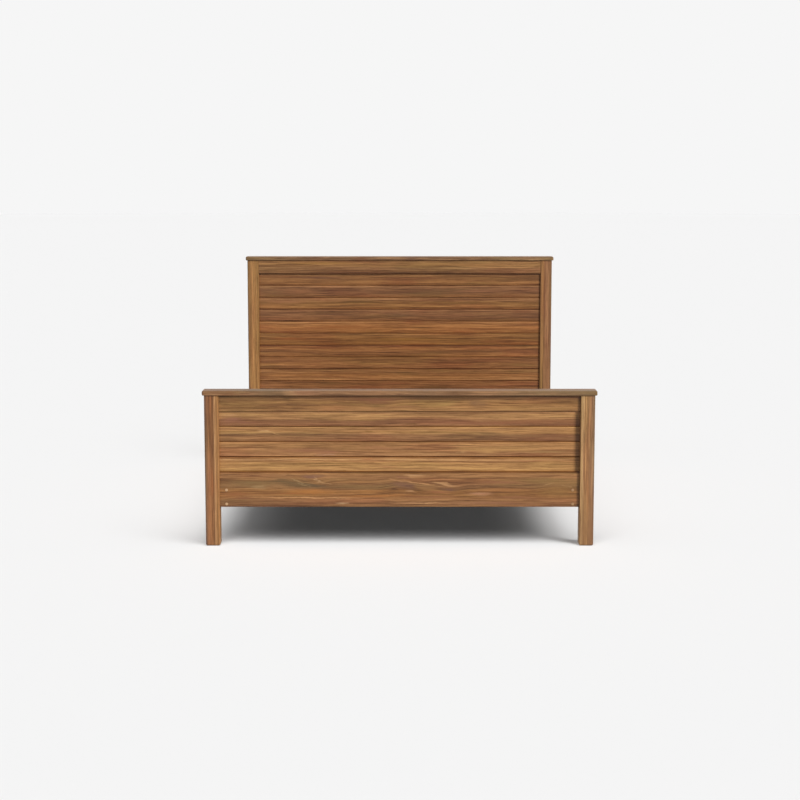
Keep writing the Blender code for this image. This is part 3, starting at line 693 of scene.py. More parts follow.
# The bottom rail darkens along its top edge: painted shade for the groove under the lowest board.
framing_rail("foot_bottom_rail", F, 0.012, 0.030, RAIL_LOW, RAIL_TOP, True, FOOT_BOARD, "timber_rails", wood(
    "timber_foot_bottom_rail", "x", "z", RAIL_LOW, RAIL_TOP,
    [(0.0, (126, 90, 60)), (0.08, (138, 98, 66)), (0.15, (144, 103, 70)), (0.21, (156, 112, 74)), (0.26, (148, 104, 66)), (0.42, (152, 107, 66)), (0.58, (138, 102, 68)), (0.74, (144, 104, 68)), (0.88, (154, 111, 74)), (0.96, (150, 108, 70)), (1.0, (134, 94, 56))],
    8.0, streak=0.7, wave=0.005, depth=F + 0.012, painted_groove_shade=[(RAIL_TOP, 0.0058, 0.75)],
    dips=[(0.01, 0.244, 0.11, 0.050, -0.012), (-0.36, 0.270, 0.10, 0.035, 0.010), (-0.52, 0.262, 0.10, 0.03, -0.006), (0.22, 0.245, 0.09, 0.035, 0.008), (0.64, 0.245, 0.10, 0.03, -0.006)],
    spots=[((-0.45, 0.266), (0.115, 0.018), (104, 84, 58), 0.95, -0.05), ((-0.37, 0.264), (0.07, 0.013), (94, 76, 56), 0.95, -0.18), ((-0.50, 0.278), (0.04, 0.005), (98, 78, 54), 0.8),
           ((-0.62, 0.262), (0.10, 0.016), (124, 100, 66), 0.8), ((-0.50, 0.290), (0.10, 0.006), (144, 104, 68), 0.6),
           ((-0.59, 0.247), (0.040, 0.009), (154, 124, 86), 0.85), ((-0.42, 0.276), (0.045, 0.003), (170, 138, 96), 0.7, -0.30),
           ((-0.40, 0.262), (0.030, 0.003), (162, 132, 92), 0.6, -0.30),
           ((-0.343, 0.285), (0.016, 0.0045), (188, 150, 108), 0.8, -0.80), ((-0.315, 0.271), (0.030, 0.0028), (188, 148, 104), 0.85, -0.25),
           ((-0.36, 0.297), (0.055, 0.006), (126, 92, 78), 0.8), ((-0.37, 0.229), (0.115, 0.013), (170, 113, 62), 0.9),
           ((-0.44, 0.221), (0.09, 0.004), (150, 92, 54), 0.7), ((-0.69, 0.212), (0.06, 0.014), (146, 96, 62), 0.65),
           ((-0.66, 0.196), (0.05, 0.005), (126, 82, 60), 0.7), ((-0.38, 0.2018), (0.28, 0.0026), (200, 150, 102), 0.95),
           ((-0.60, 0.209), (0.06, 0.0022), (184, 132, 88), 0.6), ((-0.45, 0.192), (0.24, 0.005), (134, 92, 62), 0.7),
           ((0.012, 0.250), (0.056, 0.018), (118, 84, 68), 0.95, -0.12), ((0.045, 0.245), (0.030, 0.011), (102, 72, 58), 0.9, -0.2),
           ((-0.022, 0.232), (0.024, 0.0045), (82, 56, 40), 0.95, -0.1), ((0.038, 0.225), (0.024, 0.0045), (190, 146, 104), 0.8),
           ((-0.010, 0.276), (0.032, 0.0050), (182, 134, 92), 0.75, -0.30), ((0.045, 0.268), (0.045, 0.0035), (184, 136, 92), 0.7, -0.16), ((0.09, 0.263), (0.080, 0.0030), (186, 138, 92), 0.8, -0.08),
           ((0.020, 0.289), (0.040, 0.005), (128, 88, 70), 0.7, -0.2), ((0.060, 0.299), (0.045, 0.0065), (194, 150, 106), 0.85),
           ((0.04, 0.3095), (0.08, 0.003), (96, 64, 30), 0.9), ((0.205, 0.2605), (0.055, 0.0042), (190, 146, 102), 0.75, -0.10),
           ((0.175, 0.266), (0.05, 0.0030), (190, 144, 98), 0.8, -0.04), ((0.205, 0.243), (0.040, 0.009), (110, 78, 62), 0.9, -0.1),
           ((0.11, 0.245), (0.06, 0.008), (150, 108, 70), 0.6), ((0.17, 0.228), (0.06, 0.006), (150, 98, 70), 0.7),
           ((-0.17, 0.252), (0.14, 0.010), (128, 98, 64), 0.8), ((-0.20, 0.272), (0.11, 0.005), (166, 118, 74), 0.6),
           ((-0.14, 0.232), (0.10, 0.008), (164, 112, 66), 0.6), ((0.62, 0.272), (0.13, 0.016), (128, 102, 64), 0.8),
           ((0.67, 0.236), (0.09, 0.030), (134, 100, 62), 0.7), ((0.62, 0.256), (0.030, 0.003), (172, 134, 90), 0.7, 0.15),
           ((0.70, 0.248), (0.022, 0.003), (170, 134, 92), 0.6, -0.2), ((0.43, 0.265), (0.11, 0.005), (146, 100, 72), 0.7),
           ((0.34, 0.217), (0.055, 0.009), (180, 132, 100), 0.75), ((0.42, 0.234), (0.12, 0.008), (158, 110, 70), 0.6),
           ((0.40, 0.292), (0.16, 0.007), (172, 126, 82), 0.65), ((0.50, 0.203), (0.12, 0.006), (138, 94, 68), 0.7),
           ((-0.10, 0.211), (0.16, 0.005), (170, 112, 64), 0.7), ((0.13, 0.206), (0.12, 0.006), (152, 104, 74), 0.6),
           ((-0.235, 0.179), (0.032, 0.0045), (184, 148, 110), 0.85, 0.05), ((0.09, 0.181), (0.13, 0.0028), (192, 146, 102), 0.9),
           ((-0.55, 0.179), (0.12, 0.004), (146, 106, 72), 0.6), ((0.36, 0.182), (0.16, 0.007), (136, 96, 72), 0.7),
           ((0.62, 0.187), (0.09, 0.005), (152, 112, 74), 0.6), ((-0.62, 0.303), (0.14, 0.004), (130, 92, 62), 0.6)]), bores)

FOOT_FIGURE = {
    # painted shade: plank 1's ramp darkens towards its top edge, standing in for the shade below the groove above it
    1: dict(ramp=[(0.0, (170, 128, 80)), (0.08, (176, 132, 85)), (0.30, (176, 132, 84)), (0.60, (170, 126, 80)), (0.68, (156, 111, 72)), (0.735, (168, 122, 80)), (0.79, (186, 142, 96)), (0.85, (164, 120, 78)), (0.92, (142, 98, 60)), (1.0, (132, 90, 52))],
            streak=0.4, wave=0.003, red=0.3, olive=0.3,
            spots=[((-0.13, 0.364), (0.06, 0.004), (158, 98, 62), 0.8), ((0.55, 0.362), (0.20, 0.004), (168, 112, 78), 0.6),
                   ((-0.45, 0.367), (0.14, 0.003), (196, 150, 100), 0.7), ((0.30, 0.330), (0.14, 0.008), (184, 140, 86), 0.5),
                   ((-0.06, 0.335), (0.05, 0.005), (164, 112, 78), 0.5)]),
    2: dict(ramp=[(0.0, (158, 115, 76)), (0.15, (160, 116, 78)), (0.35, (156, 112, 74)), (0.6, (168, 123, 80)), (1.0, (168, 123, 80))], streak=0.55, wave=0.004, red=0.5, olive=0.2,
            spots=[((-0.40, 0.403), (0.14, 0.010), (142, 95, 70), 0.7), ((-0.30, 0.396), (0.07, 0.005), (134, 86, 70), 0.75),
                   ((-0.31, 0.386), (0.05, 0.0028), (188, 142, 114), 0.8), ((-0.55, 0.386), (0.10, 0.004), (150, 102, 68), 0.6),
                   ((0.12, 0.392), (0.15, 0.0028), (186, 140, 94), 0.75), ((0.05, 0.386), (0.18, 0.0025), (178, 134, 92), 0.7),
                   ((0.25, 0.400), (0.022, 0.005), (194, 152, 102), 0.8), ((0.40, 0.410), (0.20, 0.012), (176, 134, 84), 0.75),
                   ((0.36, 0.398), (0.05, 0.006), (190, 146, 92), 0.6), ((0.60, 0.397), (0.09, 0.005), (158, 126, 80), 0.6),
                   ((0.62, 0.386), (0.12, 0.003), (138, 92, 60), 0.7), ((-0.68, 0.398), (0.07, 0.010), (150, 104, 68), 0.5),
                   ((-0.06, 0.415), (0.10, 0.008), (168, 116, 82), 0.6)]),
    3: dict(ramp=[(0.0, (136, 96, 64)), (0.30, (140, 100, 68)), (0.46, (138, 100, 68)), (0.50, (168, 126, 82)), (0.62, (166, 122, 78)), (0.86, (160, 117, 77)), (0.93, (180, 136, 88)), (1.0, (170, 126, 78))], streak=0.6, wave=0.005, red=0.5, olive=0.4,
            dips=[(-0.56, 0.470, 0.08, 0.03, -0.003), (0.22, 0.468, 0.16, 0.03, -0.004)],
            spots=[((-0.565, 0.482), (0.030, 0.0034), (208, 166, 116), 0.9, -0.06), ((-0.53, 0.472), (0.035, 0.0024), (182, 140, 92), 0.7, -0.25),
                   ((-0.62, 0.478), (0.05, 0.004), (178, 134, 84), 0.5),
                   ((-0.129, 0.482), (0.012, 0.004), (104, 74, 40), 0.85), ((-0.18, 0.485), (0.06, 0.0022), (188, 144, 92), 0.7),
                   ((0.21, 0.460), (0.050, 0.006), (110, 82, 54), 0.85), ((0.05, 0.470), (0.09, 0.004), (150, 106, 70), 0.6),
                   ((0.37, 0.475), (0.075, 0.0085), (114, 86, 58), 0.85, -0.06), ((0.52, 0.465), (0.10, 0.006), (132, 98, 66), 0.7),
                   ((-0.40, 0.462), (0.09, 0.006), (122, 92, 60), 0.6), ((0.62, 0.478), (0.10, 0.004), (158, 120, 76), 0.6)]),
    4: dict(ramp=[(0.0, (140, 98, 66)), (0.2, (140, 98, 68)), (0.44, (140, 100, 68)), (0.48, (164, 120, 80)), (0.75, (164, 122, 80)), (1.0, (158, 114, 76))], streak=0.55, wave=0.003, red=0.4, olive=0.3,
            spots=[((-0.705, 0.532), (0.060, 0.013), (142, 96, 76), 0.8), ((-0.65, 0.520), (0.05, 0.005), (136, 92, 70), 0.6), ((-0.71, 0.553), (0.05, 0.003), (186, 140, 98), 0.85),
                   ((-0.08, 0.546), (0.035, 0.005), (186, 146, 92), 0.7), ((-0.15, 0.541), (0.05, 0.004), (180, 138, 86), 0.6), ((0.30, 0.546), (0.16, 0.003), (176, 134, 88), 0.6),
                   ((0.35, 0.519), (0.22, 0.006), (140, 92, 66), 0.6), ((-0.50, 0.540), (0.12, 0.004), (176, 132, 86), 0.6),
                   ((0.05, 0.513), (0.035, 0.0035), (98, 68, 42), 0.8), ((0.55, 0.525), (0.26, 0.010), (146, 96, 66), 0.6),
                   ((0.66, 0.548), (0.10, 0.004), (186, 144, 92), 0.6), ((-0.18, 0.535), (0.16, 0.006), (176, 134, 82), 0.5),
                   ((-0.40, 0.520), (0.16, 0.008), (130, 92, 62), 0.5)]),
}
pitch = (FOOT_TOP_LOW - RAIL_TOP) / 4
for n in range(4):
    low = RAIL_TOP + n * pitch
    figure = dict(FOOT_FIGURE[n + 1])
    ramp = figure.pop("ramp")
    # Each foot board darkens along its grooved edges (painted shade) and across its right end beside the post (painted
    # shadow of the post).
    plank(f"foot_plank_{n + 1}", FOOT_BOARD, low, low + pitch, n == 0, n == 3, "timber_foot_boards",
          wood(f"timber_foot_plank_{n + 1}", "x", "z", low, low + pitch, ramp, 11.0 + n * 1.7, depth=FOOT_BOARD,
               painted_groove_shade=[(low, 0.0034 if n else 0.006, 0.9), (low + pitch, 0.0030, 0.85)], painted_post_shadow=[(0.7440, 0.024, 0.55)], **figure))

framing_rail("head_top_rail", H, 0.0005, 0.045, HEAD_TOP_LOW, HEAD_CAP_LOW, False, HEAD_BOARD, "timber_rails", wood(
    "timber_head_top_rail", "x", "z", HEAD_TOP_LOW, HEAD_CAP_LOW,
    [(0.0, (128, 91, 60)), (0.4, (136, 100, 68)), (0.6, (154, 114, 73)), (1.0, (150, 110, 72))], 20.0, streak=0.9, wave=0.006, depth=H,
    spots=[((-0.62, 1.045), (0.10, 0.006), (104, 72, 46), 0.7), ((-0.44, 1.040), (0.06, 0.008), (100, 70, 48), 0.7),
           ((-0.42, 1.075), (0.20, 0.008), (158, 118, 66), 0.6), ((-0.30, 1.048), (0.06, 0.004), (96, 66, 46), 0.6),
           ((0.08, 1.045), (0.10, 0.006), (110, 80, 58), 0.6), ((0.40, 1.070), (0.30, 0.008), (160, 116, 72), 0.6)]))
framing_rail("head_bottom_rail", H, 0.012, 0.030, RAIL_LOW, RAIL_TOP, True, HEAD_BOARD, "timber_rails", wood(
    "timber_head_bottom_rail", "x", "z", RAIL_LOW, RAIL_TOP,
    [(0.0, (138, 98, 66)), (0.3, (150, 108, 70)), (0.6, (136, 96, 64)), (1.0, (148, 106, 70))], 21.0, streak=0.9, wave=0.009,
    dips=[(0.25, 0.24, 0.2, 0.06, 0.02), (-0.4, 0.23, 0.15, 0.05, -0.015)]))

HEAD_TONES = {
    11: [(0.0, (126, 86, 54)), (0.35, (142, 100, 64)), (0.6, (130, 92, 60)), (0.9, (134, 95, 62)), (1.0, (136, 96, 62))],
    10: [(0.0, (124, 86, 56)), (0.5, (128, 90, 63)), (0.82, (132, 94, 65)), (0.9, (148, 107, 74)), (1.0, (146, 104, 70))],
    9: [(0.0, (126, 84, 52)), (0.3, (142, 101, 63)), (0.55, (124, 88, 55)), (0.8, (146, 104, 70)), (1.0, (142, 101, 68))],
    8: [(0.0, (120, 82, 54)), (0.5, (126, 88, 61)), (0.85, (130, 92, 64)), (1.0, (136, 97, 68))],
    7: [(0.0, (136, 91, 56)), (0.4, (148, 100, 62)), (0.85, (146, 101, 64)), (0.92, (158, 113, 74)), (1.0, (154, 108, 70))],
    6: [(0.0, (126, 86, 52)), (0.5, (132, 92, 56)), (0.9, (142, 102, 64)), (1.0, (140, 100, 62))],
}
HEAD_SPOTS = {
    11: [((-0.42, 1.000), (0.16, 0.010), (98, 68, 54), 0.7), ((0.15, 0.985), (0.14, 0.006), (110, 78, 50), 0.6), ((-0.16, 0.98), (0.14, 0.008), (160, 116, 72), 0.6), ((0.45, 0.995), (0.2, 0.008), (150, 108, 66), 0.5)],
    10: [((-0.10, 0.918), (0.10, 0.006), (96, 66, 48), 0.7), ((-0.55, 0.925), (0.10, 0.012), (150, 102, 70), 0.6), ((0.20, 0.915), (0.18, 0.014), (108, 80, 54), 0.7), ((0.42, 0.925), (0.15, 0.012), (148, 102, 74), 0.5)],
    9: [((-0.60, 0.870), (0.12, 0.008), (158, 108, 78), 0.6), ((-0.30, 0.845), (0.14, 0.005), (104, 72, 48), 0.6), ((0.30, 0.862), (0.16, 0.005), (104, 74, 44), 0.7), ((-0.12, 0.880), (0.16, 0.003), (184, 138, 96), 0.6)],
    8: [((-0.30, 0.795), (0.12, 0.008), (96, 66, 50), 0.8), ((0.00, 0.800), (0.10, 0.010), (100, 74, 56), 0.7), ((0.32, 0.795), (0.20, 0.008), (140, 96, 68), 0.5)],
    7: [((-0.30, 0.735), (0.16, 0.010), (136, 82, 46), 0.6), ((0.35, 0.740), (0.25, 0.010), (166, 116, 72), 0.7), ((0.42, 0.722), (0.2, 0.003), (112, 70, 44), 0.6)],
    6: [((-0.60, 0.670), (0.10, 0.010), (138, 82, 50), 0.7), ((0.05, 0.665), (0.2, 0.008), (130, 92, 48), 0.6)],
}
CYCLE = ((138, 96, 62), (128, 88, 58), (146, 104, 68), (132, 90, 60), (142, 98, 62))
pitch = (HEAD_TOP_LOW - RAIL_TOP) / 11
for n in range(11):
    low = RAIL_TOP + n * pitch
    a, b = CYCLE[n % 5], CYCLE[(n + 2) % 5]
    ramp = HEAD_TONES.get(n + 1, [(0.0, a), (0.45, b), (0.8, a), (1.0, b)])
    # Each head board darkens along its grooved edges: painted shade for the V grooves.
    plank(f"head_plank_{n + 1:02d}", HEAD_BOARD, low, low + pitch, n == 0, n == 10, "timber_head_boards",
          wood(f"timber_head_plank_{n + 1:02d}", "x", "z", low, low + pitch, ramp, 31.0 + n * 1.9, streak=0.85, fine=0.9, wave=0.005, red=0.6, olive=0.6,
               depth=HEAD_BOARD, spots=HEAD_SPOTS.get(n + 1, ()),
               painted_groove_shade=[(low, 0.0034, 0.85), (low + pitch, 0.0030, 0.85)]))

# ---------------------------------------------------------------- side rails, ledgers, blocks, slats, beam and legs
for side, word in ((-1, "left"), (1, "right")):
    a, b = sorted((side * 0.770, side * 0.795))
    rail = bar(f"visual_side_rail_{word}", "Y", (a, -HEAD_Y + GAP, RAIL_LOW), (b, HEAD_Y - GAP, RAIL_LOW + 0.150), 0.0025, 0.0006)
    settle(rail, "timber_rails", wood(
        f"timber_side_rail_{word}", "y", "z", RAIL_LOW, RAIL_LOW + 0.150,
        [(0.0, (140, 100, 68)), (0.25, (154, 110, 72)), (0.5, (142, 102, 68)), (0.7, (160, 116, 76)), (1.0, (152, 110, 72))], 50.0 + side * 2,
        streak=0.9, wave=0.009, dips=[(-0.35 * side, 0.24, 0.25, 0.06, 0.02), (0.5 * side, 0.22, 0.2, 0.05, -0.018)]), f"side_rail_{word}")
    a, b = sorted((side * 0.7697, side * 0.7397))
    ledger = bar(f"visual_slat_ledger_{word}", "Y", (a, -0.9747, SEAT - 0.030), (b, 0.9747, SEAT), 0.0015)
    settle(ledger, "softwood", wood(
        f"softwood_ledger_{word}", "y", "z", SEAT - 0.03, SEAT, [(0.0, (206, 172, 124)), (0.5, (214, 182, 136)), (1.0, (204, 168, 120))], 60.0 + side,
        streak=0.22, fine=0.45, red=0.25, olive=0.1, rough=0.62, knots=0.6, wave=0.003, pore=0.15, end=0.8, k=1.05), f"slat_ledger_{word}")
    for end, end_word, rail_face in ((-1, "foot", FOOT_Y + 0.042), (1, "head", HEAD_Y + 0.012)):
        against, face = rail_face - end * GAP, end * (HEAD_Y - GAP)
        points = [(side * 0.715, against), (side * (POST_IN - GAP), against), (side * (POST_IN - GAP), face), (side * 0.7697, face),
                  (side * 0.7697, end * 0.975), (side * 0.715, end * 0.975)]
        if side * end < 0:
            points.reverse()
        area = sum(p[0] * q[1] - q[0] * p[1] for p, q in zip(points, points[1:] + points[:1]))
        if area < 0:
            points.reverse()
        outline = fillet(points, [0.0012] * 6, 3)
        block = stack(f"visual_corner_block_{end_word}_{word}", "Z", [(RAIL_LOW + 0.001, outline), (0.21, outline), (0.256, outline)])
        settle(block, "timber_rails", wood(
            f"timber_corner_block_{end_word}_{word}", "z", "x", min(side * 0.715, side * 0.77), max(side * 0.715, side * 0.77),
            [(0.0, (136, 98, 66)), (1.0, (148, 106, 70))], 70.0 + side * 2 + end, streak=0.7, wave=0.002, rough=0.55), f"corner_block_{end_word}_{word}")

for n in range(12):
    y = -0.922 + n * 2 * 0.922 / 11
    slat = bar(f"visual_slat_{n + 1:02d}", "X", (-0.768, y - 0.05, SEAT + GAP), (0.768, y + 0.05, SEAT + GAP + 0.020), 0.003, 0.0018)
    warm = (n * 7 % 5) * 2
    settle(slat, "softwood", wood(
        f"softwood_slat_{n + 1:02d}", "x", "y", y - 0.05, y + 0.05,
        [(0.0, (208 + warm, 174, 126)), (0.3, (216, 184 - warm, 138)), (0.6, (204 + warm, 170, 122)), (1.0, (214, 180, 132 - warm))], 80.0 + n * 3.1,
        streak=0.20, fine=0.42, red=0.25, olive=0.1, rough=0.60, knots=0.75, wave=0.008, pore=0.15, end=0.8, k=1.10), f"slat_{n + 1:02d}")

beam = bar("visual_centre_beam", "Y", (-0.020, -1.0374, 0.170), (0.020, 1.0314, SEAT), 0.002)
settle(beam, "softwood", wood("softwood_beam", "y", "z", 0.170, SEAT, [(0.0, (204, 168, 120)), (0.5, (214, 180, 132)), (1.0, (202, 166, 118))], 64.0,
       streak=0.25, fine=0.45, red=0.25, olive=0.1, rough=0.62, knots=0.6, wave=0.004, pore=0.15, end=0.8, k=1.05), "centre_beam")
for word, y in (("front", -0.200), ("rear", 0.200)):
    leg = bar(f"visual_centre_leg_{word}", "Z", (-0.0225, y - 0.0225, 0.028), (0.0225, y + 0.0225, 0.170 - GAP), 0.002)
    carve(leg, [], [((0.0, y, 0.055), 0.0063, 0.056, "Z")])
    settle(leg, "timber_posts", wood(f"timber_centre_leg_{word}", "z", "x", -0.0225, 0.0225, [(0.0, (136, 98, 66)), (0.5, (150, 108, 72)), (1.0, (138, 100, 66))],
           66.0 + y * 10, streak=0.7, wave=0.002), f"centre_leg_{word}")

# ---------------------------------------------------------------- wood plugs
for side, word in ((-1, "left"), (1, "right")):
    for z, place_word in zip((0.1765, 0.2360), ("lower", "upper")):
        r = 0.00585
        front = F + 0.012 - 0.0008
        profile = [(0.0, -0.0083), (r, -0.0083), (r, -0.0006), (r - 0.0002, -0.0003), (r - 0.0007, -0.00008), (r * 0.55, 0.0), (0.0, 0.0)]
        plug = lathe(f"visual_rail_plug_{word}_{place_word}", profile, (side * 0.727, front, z), 40, axis="-Y")
        g = Graph(f"plug_{word}_{place_word}")
        off = g.vector("SUBTRACT", g.object, (side * 0.7285, 0.0, z + 0.001))
        ring = g.math("SINE", g.math("MULTIPLY", g.vector("LENGTH", g.vector("MULTIPLY", off, (1.0, 0.0, 1.3))), 5200.0))
        shade = g.mix("MIX", g.step(ring, -0.4, 1.0, 0.0, 0.5), *((tone((192, 156, 118)), tone((166, 128, 92))) if side < 0 else (tone((162, 126, 90)), tone((134, 98, 66)))))
        speck = g.noise(g.object, (1700, 1700, 1700), (side, z, 0), 2.0, 0.6)
        shade = g.mix("MULTIPLY", g.step(speck, 0.52, 0.70, 0.0, 0.5), shade, (0.72, 0.66, 0.60, 1.0))
        settle(plug, "plug_wood", g.finish(shade, g.math("MULTIPLY_ADD", speck, 0.2, 0.38), speck, 0.0001, 0.4), f"rail_plug_{word}_{place_word}")

# ---------------------------------------------------------------- hardware
zinc = metal("zinc_plate", (196, 198, 200), 0.34)
brass = metal("brass_turned", (198, 164, 92), 0.30)
black = plastic("black_pad", (34, 34, 36), 0.5)
for word in ("foot", "head"):
    node = frame["nodes"][f"beam_hanger_{word}"]
    node.data.materials.clear()
    node.data.materials.append(zinc)


def screw(name, centre, axis, head=0.0042, rise=0.0016):
    """A cross-head screw's head, its recess cut in."""
    profile = [(0.0, -0.0030), (head * 0.55, -0.0030), (head * 0.55, -0.0002), (head * 0.97, -0.0002), (head, 0.0001), (head * 0.93, rise * 0.45), (head * 0.72, rise * 0.8), (head * 0.42, rise), (0.0, rise)]
    made = lathe(name, profile, (0, 0, 0), 28)
    wide, long = head * 0.16, head * 0.62
    carve(made, [((-wide, -long, rise - 0.0011), (wide, long, rise + 0.01)), ((-long, -wide, rise - 0.0011), (long, wide, rise + 0.01))])
    turn = {"Z": Matrix.Rotation(0.5, 4, "Z"), "X": Matrix.Rotation(math.pi / 2, 4, "Y"), "-X": Matrix.Rotation(-math.pi / 2, 4, "Y"),
            "Y": Matrix.Rotation(-math.pi / 2, 4, "X"), "-Y": Matrix.Rotation(math.pi / 2, 4, "X")}[axis]
    made.data.transform(Matrix.Translation(centre) @ turn)
    smooth(made, 30)
    made.data.materials.clear()
    made.data.materials.append(zinc)
    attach(made, STATIC)
    return made


def bolt(name, centre, axis):
    """A hexagon-head bolt on a washer."""
    washer = [(0.0, 0.0), (0.0088, 0.0), (0.0090, 0.0003), (0.0090, 0.0012), (0.0087, 0.0015), (0.0, 0.0015)]
    made = lathe(name, washer, (0, 0, 0), 40)
    build = bmesh.new()
    build.from_mesh(made.data)
    base = [build.verts.new((0.0065 * math.cos(math.pi / 3 * k), 0.0065 * math.sin(math.pi / 3 * k), 0.0013)) for k in range(6)]
    mid = [build.verts.new((0.0065 * math.cos(math.pi / 3 * k), 0.0065 * math.sin(math.pi / 3 * k), 0.0048)) for k in range(6)]
    top = [build.verts.new((0.0054 * math.cos(math.pi / 3 * k), 0.0054 * math.sin(math.pi / 3 * k), 0.0055)) for k in range(6)]
    for a, b in ((base, mid), (mid, top)):
        for k in range(6):
            build.faces.new((a[k], a[(k + 1) % 6], b[(k + 1) % 6], b[k]))
    build.faces.new(base[::-1])
    build.faces.new(top)
    bmesh.ops.recalc_face_normals(build, faces=build.faces)
    turn = {"X": Matrix.Rotation(math.pi / 2, 4, "Y"), "-X": Matrix.Rotation(-math.pi / 2, 4, "Y")}[axis]
    build.transform(Matrix.Translation(centre) @ turn)
    build.to_mesh(made.data)
    build.free()
    smooth(made, 30)
    made.data.materials.clear()
    made.data.materials.append(zinc)
    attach(made, STATIC)
    return made


for n in range(12):
    y = -0.922 + n * 2 * 0.922 / 11
    for side, word in ((-1, "left"), (1, "right")):
        screw(f"slat_screw_{n + 1:02d}_{word}", (side * 0.7540, y, SEAT + GAP + 0.0198), "Z", 0.0040, 0.0010)
for word, face, way, axis in (("foot", FOOT_Y + 0.042 + GAP, 1, "Y"), ("head", HEAD_Y + 0.012 - GAP, -1, "-Y")):
    for side, which in ((-1, "left"), (1, "right")):
        for n, z in enumerate((0.1672 + 0.016, SEAT - 0.018)):
            screw(f"hanger_screw_{word}_{which}_{n}", (side * 0.0345, face + way * 0.0025, z), axis, 0.0040, 0.0018)
for end, end_word in ((-1, "foot"), (1, "head")):
    for side, word in ((-1, "left"), (1, "right")):
        for n, z in enumerate((0.188, 0.232)):
            bolt(f"block_bolt_{end_word}_{word}_{n}", (side * 0.715, end * 1.000, z), "-X" if side > 0 else "X")

for word, y in (("front", -0.200), ("rear", 0.200)):
    insert = lathe(f"visual_leg_insert_{word}", [
        (0.0060, 0.0460), (0.0060, 0.0277), (0.0107, 0.0277), (0.0110, 0.0274), (0.0110, 0.0268), (0.0107, 0.0265), (0.0047, 0.0265), (0.0044, 0.0268), (0.0044, 0.0460)],
        (0.0, y, 0.0), 56, closed=True)
    settle(insert, "brass", brass, f"leg_insert_{word}")

    pad = lathe(f"visual_glide_pad_{word}", [
        (0.0046, 0.0102), (0.0049, 0.0105), (0.0095, 0.0105), (0.0101, 0.0103), (0.0105, 0.0098), (0.0128, 0.0076), (0.0150, 0.0055), (0.0157, 0.0049),
        (0.0160, 0.0042), (0.0160, 0.0008), (0.0158, 0.0003), (0.0152, 0.0000), (0.0, 0.0000), (0.0, 0.0040), (0.0054, 0.0040), (0.0054, 0.0085), (0.0046, 0.0090)],
        (0.0, y, 0.0), 56, closed=True)
    smooth(pad, 32)
    pad.data.materials.clear()
    pad.data.materials.append(black)
    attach(pad, f"glide_pad_{word}")
    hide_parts(f"glide_pad_{word}")

    # threaded stem: a real helix above and below the hexagon
    steps, per, turn_h = 24, 6, 0.00125
    build = bmesh.new()

    def thread(z0, z1):
        count = int((z1 - z0) / (turn_h / per))
        rings = []
        for i in range(count + 1):
            z = z0 + (z1 - z0) * i / count
            fade = min(1.0, (z - z0) / 0.0008, (z1 - z) / 0.0008)
            ring = []
            for s in range(steps):
                phase = (z / turn_h - s / steps) % 1.0
                tooth = abs(phase * 2 - 1)
                r = 0.0040 - 0.0007 * (1 - min(1.0, max(0.0, (tooth - 0.12) / 0.76))) * max(fade, 0.0) - (0.0004 * (1 - max(fade, 0.0)))
                a = 2 * math.pi * s / steps
                ring.append(build.verts.new((r * math.cos(a), y + r * math.sin(a), z)))
            rings.append(ring)
        for a, b in zip(rings, rings[1:]):
            for s in range(steps):
                t = (s + 1) % steps
                build.faces.new((a[s], a[t], b[t], b[s]))
        build.faces.new(rings[0])
        build.faces.new(rings[-1])

    def turned_part(profile, sides, spin=0.0):
        rings = [[build.verts.new((r * math.cos(2 * math.pi * s / sides + spin), y + r * math.sin(2 * math.pi * s / sides + spin), z)) for s in range(sides)] for r, z in profile]
        for a, b in zip(rings, rings[1:]):
            for s in range(sides):
                t = (s + 1) % sides
                build.faces.new((a[s], a[t], b[t], b[s]))
        build.faces.new(rings[0])
        build.faces.new(rings[-1])

    thread(0.0173, 0.0600)
    thread(0.0082, 0.0127)
    turned_part([(0.0066, 0.0125), (0.0075, 0.0130), (0.0075, 0.0170), (0.0066, 0.0175)], 6)
    turned_part([(0.0040, 0.0044), (0.0046, 0.0046), (0.0050, 0.0050), (0.0050, 0.0078), (0.0040, 0.0083)], 32)
    bmesh.ops.recalc_face_normals(build, faces=build.faces)
    mesh = bpy.data.meshes.new(f"visual_glide_stem_{word}")
    build.to_mesh(mesh)
    build.free()
    stem = bpy.data.objects.new(f"visual_glide_stem_{word}", mesh)
    bpy.context.scene.collection.objects.link(stem)
    smooth(stem, 30)
    stem.data.materials.append(zinc)
    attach(stem, f"glide_stem_{word}")
    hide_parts(f"glide_stem_{word}")

# ================================================================ studio
scene = bpy.context.scene
scene.view_settings.view_transform = "Standard"
scene.view_settings.look = "None"
scene.view_settings.exposure = 0.0
scene.view_settings.gamma = 1.0

PALE = 0.9216  # the even pale grey of the studio
AMBIENT = 0.06
world = bpy.data.worlds.new("studio")
scene.world = world
world.use_nodes = True
nodes, links = world.node_tree.nodes, world.node_tree.links
back = nodes["Background"]
back.inputs["Color"].default_value = (1.0, 1.0, 1.0, 1.0)
path = nodes.new("ShaderNodeLightPath")
level = nodes.new("ShaderNodeMapRange")
links.new(path.outputs["Is Camera Ray"], level.inputs[0])
level.inputs[3].default_value = AMBIENT
level.inputs[4].default_value = PALE
sheen_level = nodes.new("ShaderNodeMapRange")
links.new(path.outputs["Is Glossy Ray"], sheen_level.inputs[0])
sheen_level.inputs[3].default_value = 0.0
sheen_level.inputs[4].default_value = 0.75
total = nodes.new("ShaderNodeMath")
total.operation = "ADD"
links.new(level.outputs[0], total.inputs[0])
links.new(sheen_level.outputs[0], total.inputs[1])
links.new(total.outputs[0], back.inputs["Strength"])


def stage_disc(name, radius, height, segments=96):
    build = bmesh.new()
    bmesh.ops.create_circle(build, cap_ends=True, radius=radius, segments=segments, matrix=Matrix.Translation((0, 0, height)))
    mesh = bpy.data.meshes.new(name)
    build.to_mesh(mesh)
    build.free()
    made = bpy.data.objects.new(name, mesh)
    scene.collection.objects.link(made)
    return made


